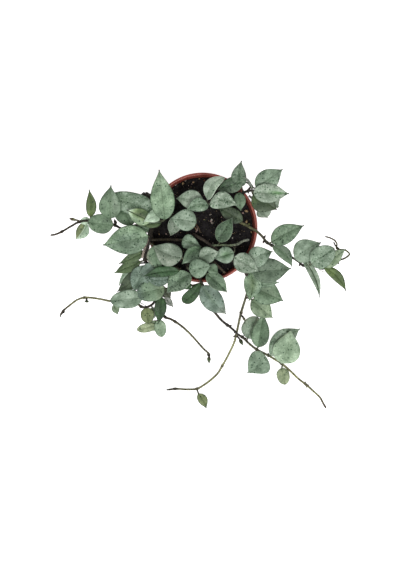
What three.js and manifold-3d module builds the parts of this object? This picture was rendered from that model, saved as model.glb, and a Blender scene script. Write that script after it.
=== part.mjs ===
// Potted trailing hoya: a terracotta-coloured plastic nursery pot filled with
// dark potting mix, and leafy stems that arch over its rim and trail on the
// surface it stands on. Millimetres, +Z up. The origin is the middle of the
// pot's flat underside; the pot's axis is Z, and the longest vines run to -Y.
import * as THREE from "three";
import { mergeVertices } from "three/addons/utils/BufferGeometryUtils.js";
import Module from "manifold-3d";

const wasm = await Module();
wasm.setup();

// Pot sizes
const POT_HEIGHT = 95;
const RIM_RADIUS = 55;
const RIM_LIP_HEIGHT = 2.2;
const RIM_INNER_RADIUS = 52.4;
const COLLAR_HEIGHT = 14;
const COLLAR_STEP = 1.2;
const LIP_UNDERCUT = 0.6;
const BASE_RADIUS = 38.5;
const BASE_CHAMFER = 1.5;
const WALL = 1.4;
const FLOOR = 2;
const DRILL_DEPTH = 3 * FLOOR;
const POT_SEGMENTS = 40;
const DRAIN_HOLES = 8;
const DRAIN_RADIUS = 3.5;
const DRAIN_CIRCLE = 27;
const DRAIN_SIDES = 8;

// Soil sizes
const SOIL_TOP = 84;
const SOIL_GAP = 0.3;
const SOIL_ROUGHNESS = 0.7;
const SOIL_WAVE = 5;
const SOIL_RINGS = 5;
const SOIL_SEGMENTS = 28;
const ROOT_DEPTH = 12;
const HOLE_CLEARANCE = 0.8;
const HOLE_SIDES = 8;

// Leaf and stem sizes
// The leaf's outline rises and falls as 1 - u^power, itself raised to a bend
const LEAF_THICKNESS = 1.5;
const LEAF_EDGE = 0.6;
const LEAF_END_WIDTH = 1.2;
const LEAF_WIDEST = 0.4;
const BASE_OUTLINE = { power: 2.2, bend: 0.62 };
const TIP_OUTLINE = { power: 2.1, bend: 1.4 };
const BLUNT_OUTLINE = { power: 2.3, bend: 0.6 };
const LEAF_ARCH = 0.05;
const LEAF_FOLD = 8;
const LEAF_STATIONS = [0, 0.1, 0.28, 0.52, 0.78, 1];
const LEAF_COLUMNS = [-1, 0, 1];
const PETIOLE_RADIUS = 0.8;
const PETIOLE_SIDES = 4;
const PETIOLE_STEPS = 2;
const PETIOLE_GRIP = 1.5;
const PETIOLE_BEND = 0.4;
const PETIOLE_PLACES = 100;
const STEM_SIDES = 4;
const STEM_STEP = 8;
const OLD_STEM = 1.45;
const STEM = 1.25;
const SHOOT = 1;
const TIP = 1;
const SMOOTHING = 0.02;

const MERGE_DISTANCE = 1e-4;
const DEGREE = Math.PI / 180;

// Colours and finishes
const TERRACOTTA = { color: 0x8f4534, roughness: 0.5, metalness: 0 };
const PEAT = { color: 0x211a1b, roughness: 0.95, metalness: 0 };
const LEAF_GREEN = { color: 0x7f9a82, roughness: 0.5, metalness: 0 };
const SILVER_GREEN = { color: 0x94a894, roughness: 0.5, metalness: 0 };

// What a leaf has unless it says otherwise. Roll turns it about its length, fold
// lifts its two halves, sweep bows it to its right, blunt rounds its tip and
// widest is how far along it is widest.
const PLAIN_LEAF = { roll: 0, fold: LEAF_FOLD, sweep: 0, blunt: false, widest: LEAF_WIDEST };

// A leaf from its base to its tip
function leaf(base, tip, width, habit = {}) {
  return { base, tip, width, ...PLAIN_LEAF, ...habit };
}

// The vines, each a stem with its side shoots and leaves. The first two points
// of a rooted stem are below and just above the soil.
const VINES = [
  {
    name: "vine_west",
    finish: LEAF_GREEN,
    stems: [
      {
        radii: [OLD_STEM, TIP],
        route: [
          [-20, -12.5, 72], [-20, -12.5, 86], [-27, -12.3, 92], [-40, -12.2, 96.3],
          [-52, -12, 97.6], [-66, -7, 96.2], [-80.5, -1.5, 94], [-87.5, 2.3, 92.5],
          [-97, 5, 90], [-107, 6.5, 87.5], [-115.5, 7, 86], [-123.5, 5.8, 84.5],
          [-132.5, 1, 83], [-141, -4, 82.5], [-147.5, -6.8, 83.5], [-152.5, -7.6, 85],
        ],
      },
      { radii: [SHOOT, SHOOT], route: [[-122, 6, 84.5], [-126.5, 7.6, 86], [-129.5, 7.5, 88.5]] },
    ],
    leaves: [
      leaf([-112, 10.8, 89], [-113.4, 37.8, 97], 10.7, { sweep: 0.045 }),
      leaf([-112.5, 7.9, 84], [-124.5, 5.2, 82.5], 8),
      leaf([-89.3, 2.2, 95.5], [-114.8, 5.4, 91.5], 19.9, { blunt: true }),
      leaf([-116.3, 5, 80.5], [-127.4, -11.6, 75], 14.4, { fold: 25, sweep: -0.08 }),
      leaf([-92.1, 9, 97], [-91.3, 41.5, 111], 22.2, { sweep: -0.02 }),
      leaf([-20.2, -12, 95], [-1.2, -19.2, 96.5], 15, { widest: 0.25 }),
    ],
  },
  {
    name: "vine_northwest",
    finish: LEAF_GREEN,
    stems: [
      {
        radii: [OLD_STEM, STEM],
        route: [
          [-42, 9, 72], [-42, 9, 86], [-42.2, 9, 96], [-44, 8.3, 103], [-49, 6.8, 106.3],
          [-54.5, 5.3, 106.6], [-62, 3.5, 105.2], [-71.5, 0.8, 102],
        ],
      },
    ],
    leaves: [
      leaf([-37.5, 7.8, 109.5], [-43.2, 57, 121], 24.3),
      leaf([-47.5, 18.1, 106], [-94, 30.1, 95], 22.5, { blunt: true }),
      leaf([-70.7, 2.2, 98], [-82, 34, 88], 23, { sweep: -0.05 }),
      leaf([-52, 5.8, 108.3], [-75.5, 17.3, 106.8], 16.5, { fold: 4 }),
      leaf([-44, 13.5, 106.5], [-58.8, 5.6, 112], 12.8, { widest: 0.22 }),
      leaf([-41.5, 4.5, 101], [-61, 3.2, 102.5], 9, { blunt: true }),
      leaf([-28, 10, 99], [-32, -8.3, 94], 13.5, { fold: 15, sweep: -0.08 }),
    ],
  },
  {
    name: "vine_southwest",
    finish: LEAF_GREEN,
    stems: [
      {
        radii: [OLD_STEM, TIP],
        route: [
          [-43, 2, 72], [-43, 2, 86], [-46.5, 1, 93], [-51.5, -2, 99.5], [-53.4, -12.5, 102.4],
          [-55.6, -22.5, 101.5], [-57.8, -32, 97.5], [-53.5, -37, 93.5], [-48.5, -43, 90.5],
          [-46.5, -52, 87], [-46.5, -64, 83.5], [-49, -75.5, 82], [-56.5, -79.7, 81.5],
          [-61.5, -79.2, 82], [-65.7, -75.5, 83], [-74, -73, 83.5], [-83, -73, 83.5],
          [-92.5, -73.5, 83.5], [-102.5, -71.6, 83.5], [-112.5, -70.2, 83],
          [-118.5, -70.1, 82.5], [-125.5, -72.3, 81.5], [-132.5, -77.3, 80],
          [-139.6, -83.3, 78.5], [-142.4, -87.4, 77.5],
        ],
      },
      {
        radii: [OLD_STEM, STEM],
        route: [
          [-53.9, -11, 102.2], [-56.3, -16.5, 103.8], [-58.3, -23.5, 103.5],
          [-60.5, -30.5, 101],
        ],
      },
      {
        radii: [SHOOT, STEM],
        route: [
          [-116, -70.2, 82.8], [-116.2, -72.4, 83], [-116.6, -74.8, 83.4],
        ],
      },
    ],
    leaves: [
      leaf([-54.2, -9, 105.5], [-99.6, -17.6, 99], 29.2),
      leaf([-53, -3, 98.8], [-66, 2.3, 96], 9.5, { blunt: true }),
      leaf([-48, -18, 102.8], [-42.3, -43.3, 100.5], 18, { sweep: 0.05 }),
      leaf([-58.5, -23.8, 98.5], [-83.6, -36.1, 92.5], 10.5, { sweep: -0.03 }),
      leaf([-62, -34, 94], [-88.3, -45.6, 86], 11.5),
      leaf([-49, -37, 101], [-60, -47, 96.5], 12, { blunt: true }),
      leaf([-57, -38, 96.5], [-69, -64, 84.5], 20),
      leaf([-63.4, -42.9, 87], [-85.7, -64, 79.5], 15.5, { sweep: -0.08 }),
      leaf([-72.8, -42, 79], [-84.1, -57.8, 73], 7, { roll: 40 }),
      leaf([-38, -60.3, 92], [-66, -66.5, 89], 22, { blunt: true }),
      leaf([-60.3, -70.1, 88], [-92.5, -73.5, 87], 18.9, { blunt: true }),
      leaf([-88.5, -77, 82.5], [-85.3, -87, 79], 8),
      leaf([-55.8, -80, 80.5], [-54.5, -96.1, 78.5], 13.9, { blunt: true }),
      leaf([-50.4, -79.5, 79.5], [-47.9, -91, 76], 7.5),
    ],
  },
  {
    name: "vine_south",
    finish: LEAF_GREEN,
    stems: [
      {
        radii: [OLD_STEM, TIP],
        route: [
          [-24, -31, 72], [-24, -31, 86], [-26.5, -33, 93], [-33, -38, 97], [-38, -44.5, 97.3],
          [-40.5, -53, 89.5], [-41, -62, 84.5], [-41.5, -73, 81], [-41, -83, 79.5],
          [-37.5, -89.7, 78.3], [-32.5, -91.5, 77.5], [-27.5, -94.3, 76], [-20.7, -99, 72.5],
          [-14.9, -104.2, 68], [-9.8, -109.5, 62.5], [-4.7, -115.3, 56.5], [1.2, -122, 49],
          [6.6, -127.6, 42], [6.9, -133.6, 37.5],
        ],
      },
      { radii: [SHOOT, SHOOT], route: [[-41, -82, 79.5], [-43.5, -90, 77.5], [-46, -95.5, 76]] },
    ],
    leaves: [
      leaf([-20.5, -30, 105], [-49.5, -18, 107], 24, { sweep: -0.08 }),
      leaf([-23.5, -43.5, 106], [-59, -48.7, 101.5], 11.5, { sweep: 0.05 }),
      leaf([-33, -51.5, 100], [-57, -50.5, 100], 13, { sweep: -0.06 }),
      leaf([-41.5, -69, 86], [-44.2, -96.2, 82.5], 12.5, { sweep: -0.02 }),
      leaf([-39.2, -60.5, 86.5], [-32, -70.8, 84], 9.4),
      leaf([-37.7, -69.5, 83.5], [-29.4, -79.6, 81], 7),
      leaf([-43.8, -92.3, 76.5], [-40.8, -109.8, 73], 12.2, { blunt: true }),
      leaf([-47, -98.2, 76], [-65.9, -102.6, 74], 9.9, { blunt: true }),
      leaf([-46.5, -93, 75], [-51, -103.5, 70], 9, { blunt: true }),
    ],
  },
  {
    name: "vine_southeast",
    finish: LEAF_GREEN,
    stems: [
      {
        radii: [OLD_STEM, TIP],
        route: [
          [-8, -37, 72], [-8, -37, 86], [-6.5, -42, 92], [-3.5, -49, 97], [-0.5, -56, 98.5],
          [2.5, -62, 95.5], [5.5, -71, 90], [9.5, -81.5, 83], [13.8, -86.8, 78],
          [19, -92.8, 71.5], [25, -97.8, 64], [30.2, -101.9, 57.5], [36, -107.5, 49],
          [40, -110, 44], [48, -117.5, 34], [54.8, -122.7, 26], [67.1, -129.2, 14],
          [73.6, -133.2, 9], [80.5, -137.5, 5.5], [89.4, -145, 2.6], [97.8, -153.1, 1.8],
          [105.7, -159.2, 1.7], [114, -166.6, 1.6], [120.2, -172.7, 1.6], [123, -178, 1.7],
          [126, -183, 2],
        ],
      },
      {
        radii: [SHOOT, SHOOT],
        route: [
          [0, -55, 98], [-8, -57.5, 98], [-14, -58.8, 96.5], [-19.5, -60, 95],
        ],
      },
    ],
    leaves: [
      leaf([4.2, -46.3, 105], [24.8, -65.1, 98], 15.7, { sweep: -0.03 }),
      leaf([-0.8, -58.5, 101.5], [24, -87, 89], 21.3, { sweep: 0.03 }),
      leaf([-2, -56.1, 99.5], [-19.7, -75, 92], 12.5, { sweep: -0.05, blunt: true, widest: 0.65 }),
      leaf([-12, -46.4, 104], [-35.5, -65.5, 98.5], 21, { sweep: 0.07 }),
      leaf([45.3, -111.6, 34.5], [55.9, -89.6, 31], 21.4, { blunt: true }),
      leaf([56.6, -120.5, 29], [61.8, -85.6, 50], 18.4),
      leaf([59.7, -124.9, 24], [45.5, -146.9, 16], 24.9, { sweep: -0.2 }),
      leaf([68.8, -129, 17], [99.2, -101.9, 23], 20, { sweep: -0.09, widest: 0.52 }),
      leaf([80.8, -136.8, 12.5], [89.9, -103.2, 32], 28.4, { sweep: 0.03, widest: 0.42 }),
      leaf([80.7, -142, 6], [84.2, -159.2, 3], 13.4, { blunt: true, widest: 0.36 }),
      leaf([-11, -56.9, 99], [-20, -61.2, 96], 6.5),
    ],
  },
  {
    name: "vine_curved",
    finish: SILVER_GREEN,
    stems: [
      {
        radii: [OLD_STEM, TIP],
        route: [
          [-9, -6.5, 72], [-9, -6.5, 86], [-5, -9, 91], [2.5, -13.5, 94], [9.5, -18.5, 96.5],
          [17.5, -24, 98.5], [27, -31, 100], [35, -37.5, 100.5], [40.5, -42.5, 100],
          [44, -47, 98], [45.2, -55, 93], [45, -63, 87.5], [43.8, -68.5, 83.5],
          [41.7, -75.5, 78], [38.8, -85.3, 68.5], [36.6, -95.5, 56.5], [34.8, -104.5, 45],
          [34, -108.5, 40], [32, -116, 31], [28, -125, 21.5], [24, -133, 14.5],
          [20.2, -139.7, 9.2], [15.8, -147.2, 5], [9.7, -153.3, 2.8], [2.6, -158.7, 2.1],
          [-5.5, -163.3, 2], [-14.8, -164, 1.8], [-22.9, -163.6, 1.7], [-28, -163.4, 1.8],
          [-35.1, -164.4, 2.2],
        ],
      },
      {
        radii: [STEM, STEM],
        route: [
          [9, -18.2, 96.4], [14, -17.8, 98], [20, -17.6, 99.5], [28, -18, 101],
          [35.5, -16.5, 102], [40.5, -13.5, 103], [46.5, -12.3, 104],
        ],
      },
      { radii: [SHOOT, SHOOT], route: [[38.2, -87.5, 66], [40.5, -89.5, 67], [42.3, -93, 65.5]] },
      { radii: [SHOOT, SHOOT], route: [[34, -108.5, 40], [37.5, -112, 39.5], [40, -117, 36]] },
    ],
    leaves: [
      leaf([32, -29.5, 106], [56.5, -43.8, 112], 20, { sweep: 0.02 }),
      leaf([46.5, -34.5, 102.5], [69.8, -24, 106.5], 21, { sweep: -0.05 }),
      leaf([48.9, -43.3, 102], [88.6, -41, 99], 25.3, { sweep: 0.02 }),
      leaf([57, -58, 95.5], [76.8, -54.5, 95], 7),
      leaf([48.5, -44.5, 97.5], [46.4, -73.5, 90], 18.5, { sweep: -0.1 }),
      leaf([49.6, -58.9, 91.5], [81.1, -73.3, 86], 24.7),
      leaf([49.3, -72, 82.5], [70.5, -90.7, 74], 19.2),
      leaf([16.5, -14.5, 101.5], [30, 9.8, 103.5], 16.8, { sweep: -0.03 }),
      leaf([31.3, -25, 104.5], [11.8, -31.2, 102.5], 17),
      leaf([-4, -168.4, 3], [4, -183.4, 2.5], 9.9, { sweep: -0.06 }),
    ],
  },
  {
    name: "vine_east",
    finish: SILVER_GREEN,
    stems: [
      {
        radii: [OLD_STEM, TIP],
        route: [
          [26, 8, 72], [26, 8, 86], [30, 8, 92.5], [36, 6, 96.5], [44, 2, 98.8],
          [50, -1.5, 99.5], [54.5, -4.2, 99.5], [59.5, -8.8, 98], [64.5, -15, 96],
          [69.5, -18, 94.5], [79, -23.3, 91.5], [89, -29.4, 88.5], [96.3, -34.2, 86.5],
          [101, -38, 85.5], [108.5, -37.6, 85], [115, -39.8, 84.5], [120, -41, 84.5],
          [129.5, -38.3, 86], [137.5, -32.5, 89], [142.5, -30.7, 91], [147, -26.5, 93],
          [143, -22.8, 94], [134, -21, 95.5], [134.4, -16.6, 97], [131.9, -12.8, 98.5],
          [127.6, -10.5, 100], [122.4, -9, 101.5],
        ],
      },
      { radii: [TIP, TIP], route: [[136.5, -21.2, 95.2], [132.8, -18, 97.3], [131, -14.5, 99]] },
    ],
    leaves: [
      leaf([68.7, -14.8, 98.5], [101.2, 1.9, 103], 19.9, { sweep: -0.03 }),
      leaf([70.6, -18.6, 97.5], [89.7, -39.2, 90], 12.4, { sweep: -0.12 }),
      leaf([92.3, -30.8, 91], [118.5, -15.1, 94.5], 23.5, { sweep: -0.05 }),
      leaf([108.8, -36.1, 96], [131.5, -21.1, 105.5], 22.3, { blunt: true }),
      leaf([120.3, -38, 90], [142.9, -21.7, 98.5], 15.3),
      leaf([99.9, -30.7, 87.5], [117.3, -70.4, 79], 13, { fold: 48, sweep: -0.09 }),
      leaf([122, -39.5, 86], [144, -63.9, 81], 10.5, { sweep: -0.1 }),
      leaf([40, 6.5, 98.5], [15.5, 20, 95.5], 15),
    ],
  },
  {
    name: "vine_northeast",
    finish: SILVER_GREEN,
    stems: [
      {
        radii: [OLD_STEM, STEM],
        route: [
          [33, 22, 72], [33, 22, 86], [35, 27, 95], [39.5, 33.5, 100.5], [45, 36.3, 101.5],
          [52, 37, 102],
        ],
      },
      { radii: [SHOOT, TIP], route: [[44, 36, 101.3], [47, 39, 103.5], [49, 41.8, 105]] },
    ],
    leaves: [
      leaf([40.5, 45.8, 104.5], [14.5, 37.5, 101], 16.1),
      leaf([38.8, 41, 101], [38.9, 66, 113], 15.5, { sweep: -0.1 }),
      leaf([50, 38.5, 105], [41.7, 50.3, 110], 8, { roll: 72, sweep: -0.05 }),
      leaf([36.4, 34.5, 104.5], [38.2, 16.5, 101.5], 12.3),
      leaf([53.4, 38.8, 108.3], [80, 58, 109], 21.9),
      leaf([50.8, 34.6, 109], [86.3, 33.5, 111], 20),
      leaf([50.3, 33, 103.5], [74.2, 17.7, 103], 24.4),
      leaf([55, 37, 101], [75.9, 20, 101.5], 27, { widest: 0.62 }),
      leaf([60.3, 22.8, 92], [65, 9.8, 90], 14.5, { sweep: 0.14, widest: 0.6 }),
    ],
  },
  {
    name: "stem_centre_north",
    finish: SILVER_GREEN,
    stems: [
      { radii: [OLD_STEM, STEM], route: [[5, 22, 72], [5, 22, 86], [5.5, 23, 97], [5, 25, 107]] },
    ],
    leaves: [
      leaf([0.5, 26, 104], [-26.5, 29, 100], 19.5, { sweep: 0.02 }),
      leaf([6, 22, 109], [-16.4, 17, 108.5], 14.5, { sweep: 0.13 }),
      leaf([5, 28, 111], [21.6, 49.8, 117], 13.4, { sweep: -0.19, blunt: true }),
      leaf([7, 23, 111.5], [35, 21.6, 109], 17.5, { sweep: -0.18 }),
    ],
  },
  {
    name: "stem_centre_west",
    finish: SILVER_GREEN,
    stems: [
      {
        radii: [OLD_STEM, STEM],
        route: [
          [-15, -2.5, 72], [-15, -2.5, 86], [-13, -0.5, 94], [-10.5, 2, 100],
        ],
      },
    ],
    leaves: [
      leaf([-6, 5.4, 102.5], [-32.5, 9, 105.5], 22, { sweep: 0.02 }),
    ],
  },
  {
    name: "stem_centre_south",
    finish: SILVER_GREEN,
    stems: [
      {
        radii: [OLD_STEM, STEM],
        route: [
          [-4, -20.5, 72], [-4, -20.5, 86], [-4, -24, 94], [-9, -32, 100],
          [-15.5, -38.3, 103.5],
        ],
      },
      {
        radii: [STEM, STEM],
        route: [
          [-4, -23, 92], [3, -28, 94.5], [9.5, -32.8, 95.5], [16, -39, 96], [22.5, -45.5, 96],
        ],
      },
    ],
    leaves: [
      leaf([-0.5, -21, 100.5], [-20.5, -36.5, 104], 15.5, { fold: 12, sweep: 0.04 }),
      leaf([-3, -31.5, 104.5], [16.7, -24.6, 107.5], 17, { sweep: -0.06 }),
      leaf([-13.5, -42, 107.5], [8.7, -37.4, 112], 19.5, { sweep: 0.04 }),
      leaf([6.5, -38, 106.5], [15.5, -46, 107.5], 11),
    ],
  },
];

// Solid from a geometry whose shared vertices are merged
function solidOf(geometry) {
  geometry.deleteAttribute("normal");
  geometry.deleteAttribute("uv");
  const merged = mergeVertices(geometry, MERGE_DISTANCE);
  const vertProperties = new Float32Array(merged.attributes.position.array);
  const triVerts = new Uint32Array(merged.index.array);
  return new wasm.Manifold(new wasm.Mesh({ numProp: 3, vertProperties, triVerts }));
}

// Drops the scraps that a join leaves where faces nearly touch
function largestBody(solid) {
  return solid.decompose().reduce((best, piece) => (piece.volume() > best.volume() ? piece : best));
}

// Geometry from a solid
function geometryOf(solid) {
  const mesh = solid.getMesh();
  const geometry = new THREE.BufferGeometry();
  geometry.setAttribute("position", new THREE.BufferAttribute(new Float32Array(mesh.vertProperties), 3));
  geometry.setIndex(new THREE.BufferAttribute(new Uint32Array(mesh.triVerts), 1));
  return geometry;
}

function vector(point) {
  return new THREE.Vector3(point[0], point[1], point[2]);
}

function polygon(radius, sides) {
  const corners = [];
  for (let i = 0; i < sides; i += 1) {
    const angle = (2 * Math.PI * i) / sides;
    corners.push(new THREE.Vector2(radius * Math.cos(angle), radius * Math.sin(angle)));
  }
  return new THREE.Shape(corners);
}

// Round stem or petiole along a curve, its radius going from the first to the last
function tube(curve, [first, last], sides, steps) {
  const geometry = new THREE.ExtrudeGeometry(polygon(first, sides), { extrudePath: curve, steps });
  const centres = curve.getSpacedPoints(steps);
  const place = geometry.attributes.position;
  const corner = new THREE.Vector3();
  for (let i = 0; i < place.count; i += 1) {
    corner.fromBufferAttribute(place, i);
    const distances = centres.map((centre) => centre.distanceTo(corner));
    const step = distances.indexOf(Math.min(...distances));
    const scale = 1 + ((last / first - 1) * step) / steps;
    corner.sub(centres[step]).multiplyScalar(scale).add(centres[step]);
    place.setXYZ(i, corner.x, corner.y, corner.z);
  }
  return solidOf(geometry);
}

function stemCurve(route) {
  return new THREE.CatmullRomCurve3(route.map(vector), false, "centripetal");
}

// Half the leaf's width at a place from 0 at its base to 1 at its tip
function halfWidth(place, { width, blunt, widest }) {
  const towardTip = (place - widest) / (1 - widest);
  const towardBase = 1 - place / widest;
  const tip = blunt ? BLUNT_OUTLINE : TIP_OUTLINE;
  const { power, bend } = place < widest ? BASE_OUTLINE : tip;
  const share = (1 - Math.max(towardTip, towardBase) ** power) ** bend;
  return Math.max(share * width, LEAF_END_WIDTH) / 2;
}

// The directions of a leaf: along it, to its right and out of its upper face
function leafFrame({ base, tip, roll }) {
  const along = vector(tip).sub(vector(base));
  const length = along.length();
  along.normalize();
  const right = along.clone().cross(new THREE.Vector3(0, 0, 1)).normalize();
  right.applyAxisAngle(along, roll * DEGREE);
  const out = right.clone().cross(along);
  return { length, along, right, out };
}

// Leaf blade: an upper and a lower face with a thin wall all round
function blade(shape) {
  const { length, along, right, out } = leafFrame(shape);
  const lift = shape.fold * DEGREE;
  const rows = LEAF_STATIONS.length;
  const columns = LEAF_COLUMNS.length;
  const corners = [];
  for (const side of [0.5, -0.5]) {
    for (const place of LEAF_STATIONS) {
      const bow = 4 * place * (1 - place) * length;
      const half = halfWidth(place, shape);
      for (const column of LEAF_COLUMNS) {
        const thickness = column === 0 ? LEAF_THICKNESS : LEAF_EDGE;
        const corner = vector(shape.base)
          .addScaledVector(along, place * length)
          .addScaledVector(right, shape.sweep * bow + column * half * Math.cos(lift))
          .addScaledVector(out, LEAF_ARCH * bow + side * thickness)
          .addScaledVector(out, Math.abs(column) * half * Math.sin(lift));
        corners.push(corner.x, corner.y, corner.z);
      }
    }
  }
  const index = (face, row, column) => (face * rows + row) * columns + column;
  const triangles = [];
  const quad = (a, b, c, d) => triangles.push(a, b, c, a, c, d);
  for (let row = 0; row < rows - 1; row += 1) {
    for (let column = 0; column < columns - 1; column += 1) {
      const upper = [[row, column], [row, column + 1], [row + 1, column + 1], [row + 1, column]];
      const [a, b, c, d] = upper.map(([r, k]) => index(0, r, k));
      const [e, f, g, h] = upper.map(([r, k]) => index(1, r, k));
      quad(a, b, c, d);
      triangles.push(e, g, f, e, h, g);
    }
    quad(index(0, row, 0), index(0, row + 1, 0), index(1, row + 1, 0), index(1, row, 0));
    const last = columns - 1;
    quad(index(0, row, last), index(1, row, last), index(1, row + 1, last), index(0, row + 1, last));
  }
  const end = rows - 1;
  for (let left = 0; left < columns - 1; left += 1) {
    const next = left + 1;
    quad(index(0, 0, left), index(1, 0, left), index(1, 0, next), index(0, 0, next));
    quad(index(0, end, left), index(0, end, next), index(1, end, next), index(1, end, left));
  }
  const geometry = new THREE.BufferGeometry();
  geometry.setAttribute("position", new THREE.BufferAttribute(new Float32Array(corners), 3));
  geometry.setIndex(triangles);
  return solidOf(geometry);
}

// Petiole from the nearest place on the stems to just inside the leaf's base
function petiole(shape, curves) {
  const { along } = leafFrame(shape);
  const base = vector(shape.base);
  const places = curves.flatMap((curve) => curve.getSpacedPoints(PETIOLE_PLACES));
  const nearer = (best, point) => (point.distanceTo(base) < best.distanceTo(base) ? point : best);
  const start = places.reduce(nearer);
  const bend = base.clone().addScaledVector(along, -PETIOLE_BEND * start.distanceTo(base));
  const end = base.clone().addScaledVector(along, PETIOLE_GRIP);
  const curve = new THREE.QuadraticBezierCurve3(start, bend, end);
  return tube(curve, [PETIOLE_RADIUS, PETIOLE_RADIUS], PETIOLE_SIDES, PETIOLE_STEPS);
}

// Whole vine as one body
function vineSolid(vine) {
  const curves = vine.stems.map((stem) => stemCurve(stem.route));
  const pieces = vine.stems.map((stem, i) => {
    const steps = Math.max(2, Math.round(curves[i].getLength() / STEM_STEP));
    return tube(curves[i], stem.radii, STEM_SIDES, steps);
  });
  for (const shape of vine.leaves) {
    pieces.push(petiole(shape, curves), blade(shape));
  }
  return largestBody(pieces.reduce((whole, piece) => whole.add(piece)).simplify(SMOOTHING));
}

// Inner radius of the pot's wall at a height
function innerRadius(height) {
  const floorRadius = BASE_RADIUS - WALL;
  return floorRadius + ((RIM_INNER_RADIUS - floorRadius) * (height - FLOOR)) / (POT_HEIGHT - FLOOR);
}

function lathe(profile, segments) {
  const points = profile.map(([r, z]) => new THREE.Vector2(r, z));
  return new THREE.LatheGeometry(points, segments).rotateX(Math.PI / 2);
}

// Thin pot with a stepped collar, a lip at its rim and drain holes in its floor
function potSolid() {
  const collar = POT_HEIGHT - COLLAR_HEIGHT;
  const underCollar = innerRadius(collar) + WALL;
  const lip = POT_HEIGHT - RIM_LIP_HEIGHT;
  const body = solidOf(lathe([
    [0, 0], [BASE_RADIUS - BASE_CHAMFER, 0], [BASE_RADIUS, BASE_CHAMFER], [underCollar, collar],
    [underCollar + COLLAR_STEP, collar + COLLAR_STEP], [RIM_RADIUS - LIP_UNDERCUT, lip],
    [RIM_RADIUS, lip + LIP_UNDERCUT], [RIM_RADIUS, POT_HEIGHT], [RIM_INNER_RADIUS, POT_HEIGHT],
    [innerRadius(FLOOR), FLOOR], [0, FLOOR],
  ], POT_SEGMENTS));
  const holes = [];
  for (let i = 0; i < DRAIN_HOLES; i += 1) {
    const angle = (2 * Math.PI * i) / DRAIN_HOLES;
    const hole = new THREE.CylinderGeometry(DRAIN_RADIUS, DRAIN_RADIUS, DRILL_DEPTH, DRAIN_SIDES);
    hole.rotateX(Math.PI / 2);
    hole.translate(DRAIN_CIRCLE * Math.cos(angle), DRAIN_CIRCLE * Math.sin(angle), FLOOR / 2);
    holes.push(solidOf(hole));
  }
  return holes.reduce((pot, hole) => pot.subtract(hole), body);
}

// Uneven top of the soil: long waves with shorter ones across them
function soilBump(x, y) {
  const long = Math.sin(x / SOIL_WAVE + 1) * Math.cos(y / SOIL_WAVE);
  const short = Math.sin((2 * (y - x)) / SOIL_WAVE);
  return SOIL_ROUGHNESS * (long + short / 2);
}

// Potting mix that fills the pot, with a hole for each rooted stem
function soilSolid() {
  const low = FLOOR + SOIL_GAP;
  const edge = innerRadius(SOIL_TOP) - SOIL_GAP;
  const profile = [[0, low], [innerRadius(low) - SOIL_GAP, low], [edge, SOIL_TOP]];
  for (let ring = SOIL_RINGS - 1; ring >= 0; ring -= 1) {
    profile.push([(edge * ring) / SOIL_RINGS, SOIL_TOP]);
  }
  const geometry = lathe(profile, SOIL_SEGMENTS);
  const place = geometry.attributes.position;
  for (let i = 0; i < place.count; i += 1) {
    const [x, y, z] = [place.getX(i), place.getY(i), place.getZ(i)];
    if (z > SOIL_TOP - SOIL_GAP && Math.hypot(x, y) < edge - SOIL_GAP) {
      place.setZ(i, z + soilBump(x, y));
    }
  }
  const holes = VINES.map((vine) => {
    const { radii, route } = vine.stems[0];
    const [x, y, z] = route[0];
    const width = radii[0] + HOLE_CLEARANCE;
    const hole = new THREE.CylinderGeometry(width, width, 2 * ROOT_DEPTH, HOLE_SIDES);
    hole.rotateX(Math.PI / 2).translate(x, y, z + ROOT_DEPTH - SOIL_GAP);
    return solidOf(hole);
  });
  return holes.reduce((soil, hole) => soil.subtract(hole), solidOf(geometry));
}

function part(name, solid, finish) {
  const mesh = new THREE.Mesh(geometryOf(solid), new THREE.MeshStandardMaterial(finish));
  mesh.name = name;
  return mesh;
}

const plant = new THREE.Group();
plant.add(part("pot", potSolid(), TERRACOTTA));
plant.add(part("soil", soilSolid(), PEAT));
for (const vine of VINES) {
  plant.add(part(vine.name, vineSolid(vine), vine.finish));
}

export default plant;
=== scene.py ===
import random
from itertools import combinations
from math import cos, exp, pi, radians, sin, sqrt, tau

import bpy
from mathutils import Matrix, Vector, noise


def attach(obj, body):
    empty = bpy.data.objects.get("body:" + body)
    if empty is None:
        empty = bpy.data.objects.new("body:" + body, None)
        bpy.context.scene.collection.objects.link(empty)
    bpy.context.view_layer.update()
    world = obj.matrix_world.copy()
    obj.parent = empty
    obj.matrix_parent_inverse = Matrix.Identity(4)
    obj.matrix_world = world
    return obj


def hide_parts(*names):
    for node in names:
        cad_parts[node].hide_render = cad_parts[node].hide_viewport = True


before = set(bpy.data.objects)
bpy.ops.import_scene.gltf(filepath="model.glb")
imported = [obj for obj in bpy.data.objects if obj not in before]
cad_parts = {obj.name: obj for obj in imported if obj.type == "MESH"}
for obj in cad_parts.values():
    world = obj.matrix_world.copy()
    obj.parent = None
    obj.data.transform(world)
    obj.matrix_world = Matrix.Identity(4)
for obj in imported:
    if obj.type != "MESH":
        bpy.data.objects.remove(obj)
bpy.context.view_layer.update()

# Sizes are in millimetres in the part's frame, and turned to metres as meshes are made
MM = 0.001
SEED = 11

# Pot
POT_HEIGHT = 95
RIM_RADIUS = 55
RIM_INNER_RADIUS = 52.4
INNER_ROUND = 0.7
ARC_STEPS = 5
BASE_RADIUS = 38.5
BASE_ROUND = 1.5
WALL = 1.4
FLOOR = 2
COLLAR_HEIGHT = 14
COLLAR_STEP = 1.2
LIP_HEIGHT = 2.2
LIP_ROUND = 0.9
DRAIN_HOLES = 8
DRAIN_RADIUS = 3.5
DRAIN_CIRCLE = 27
DRAIN_SEGMENTS = 32
POT_SEGMENTS = 192
SHARP_DEGREES = 40

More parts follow.
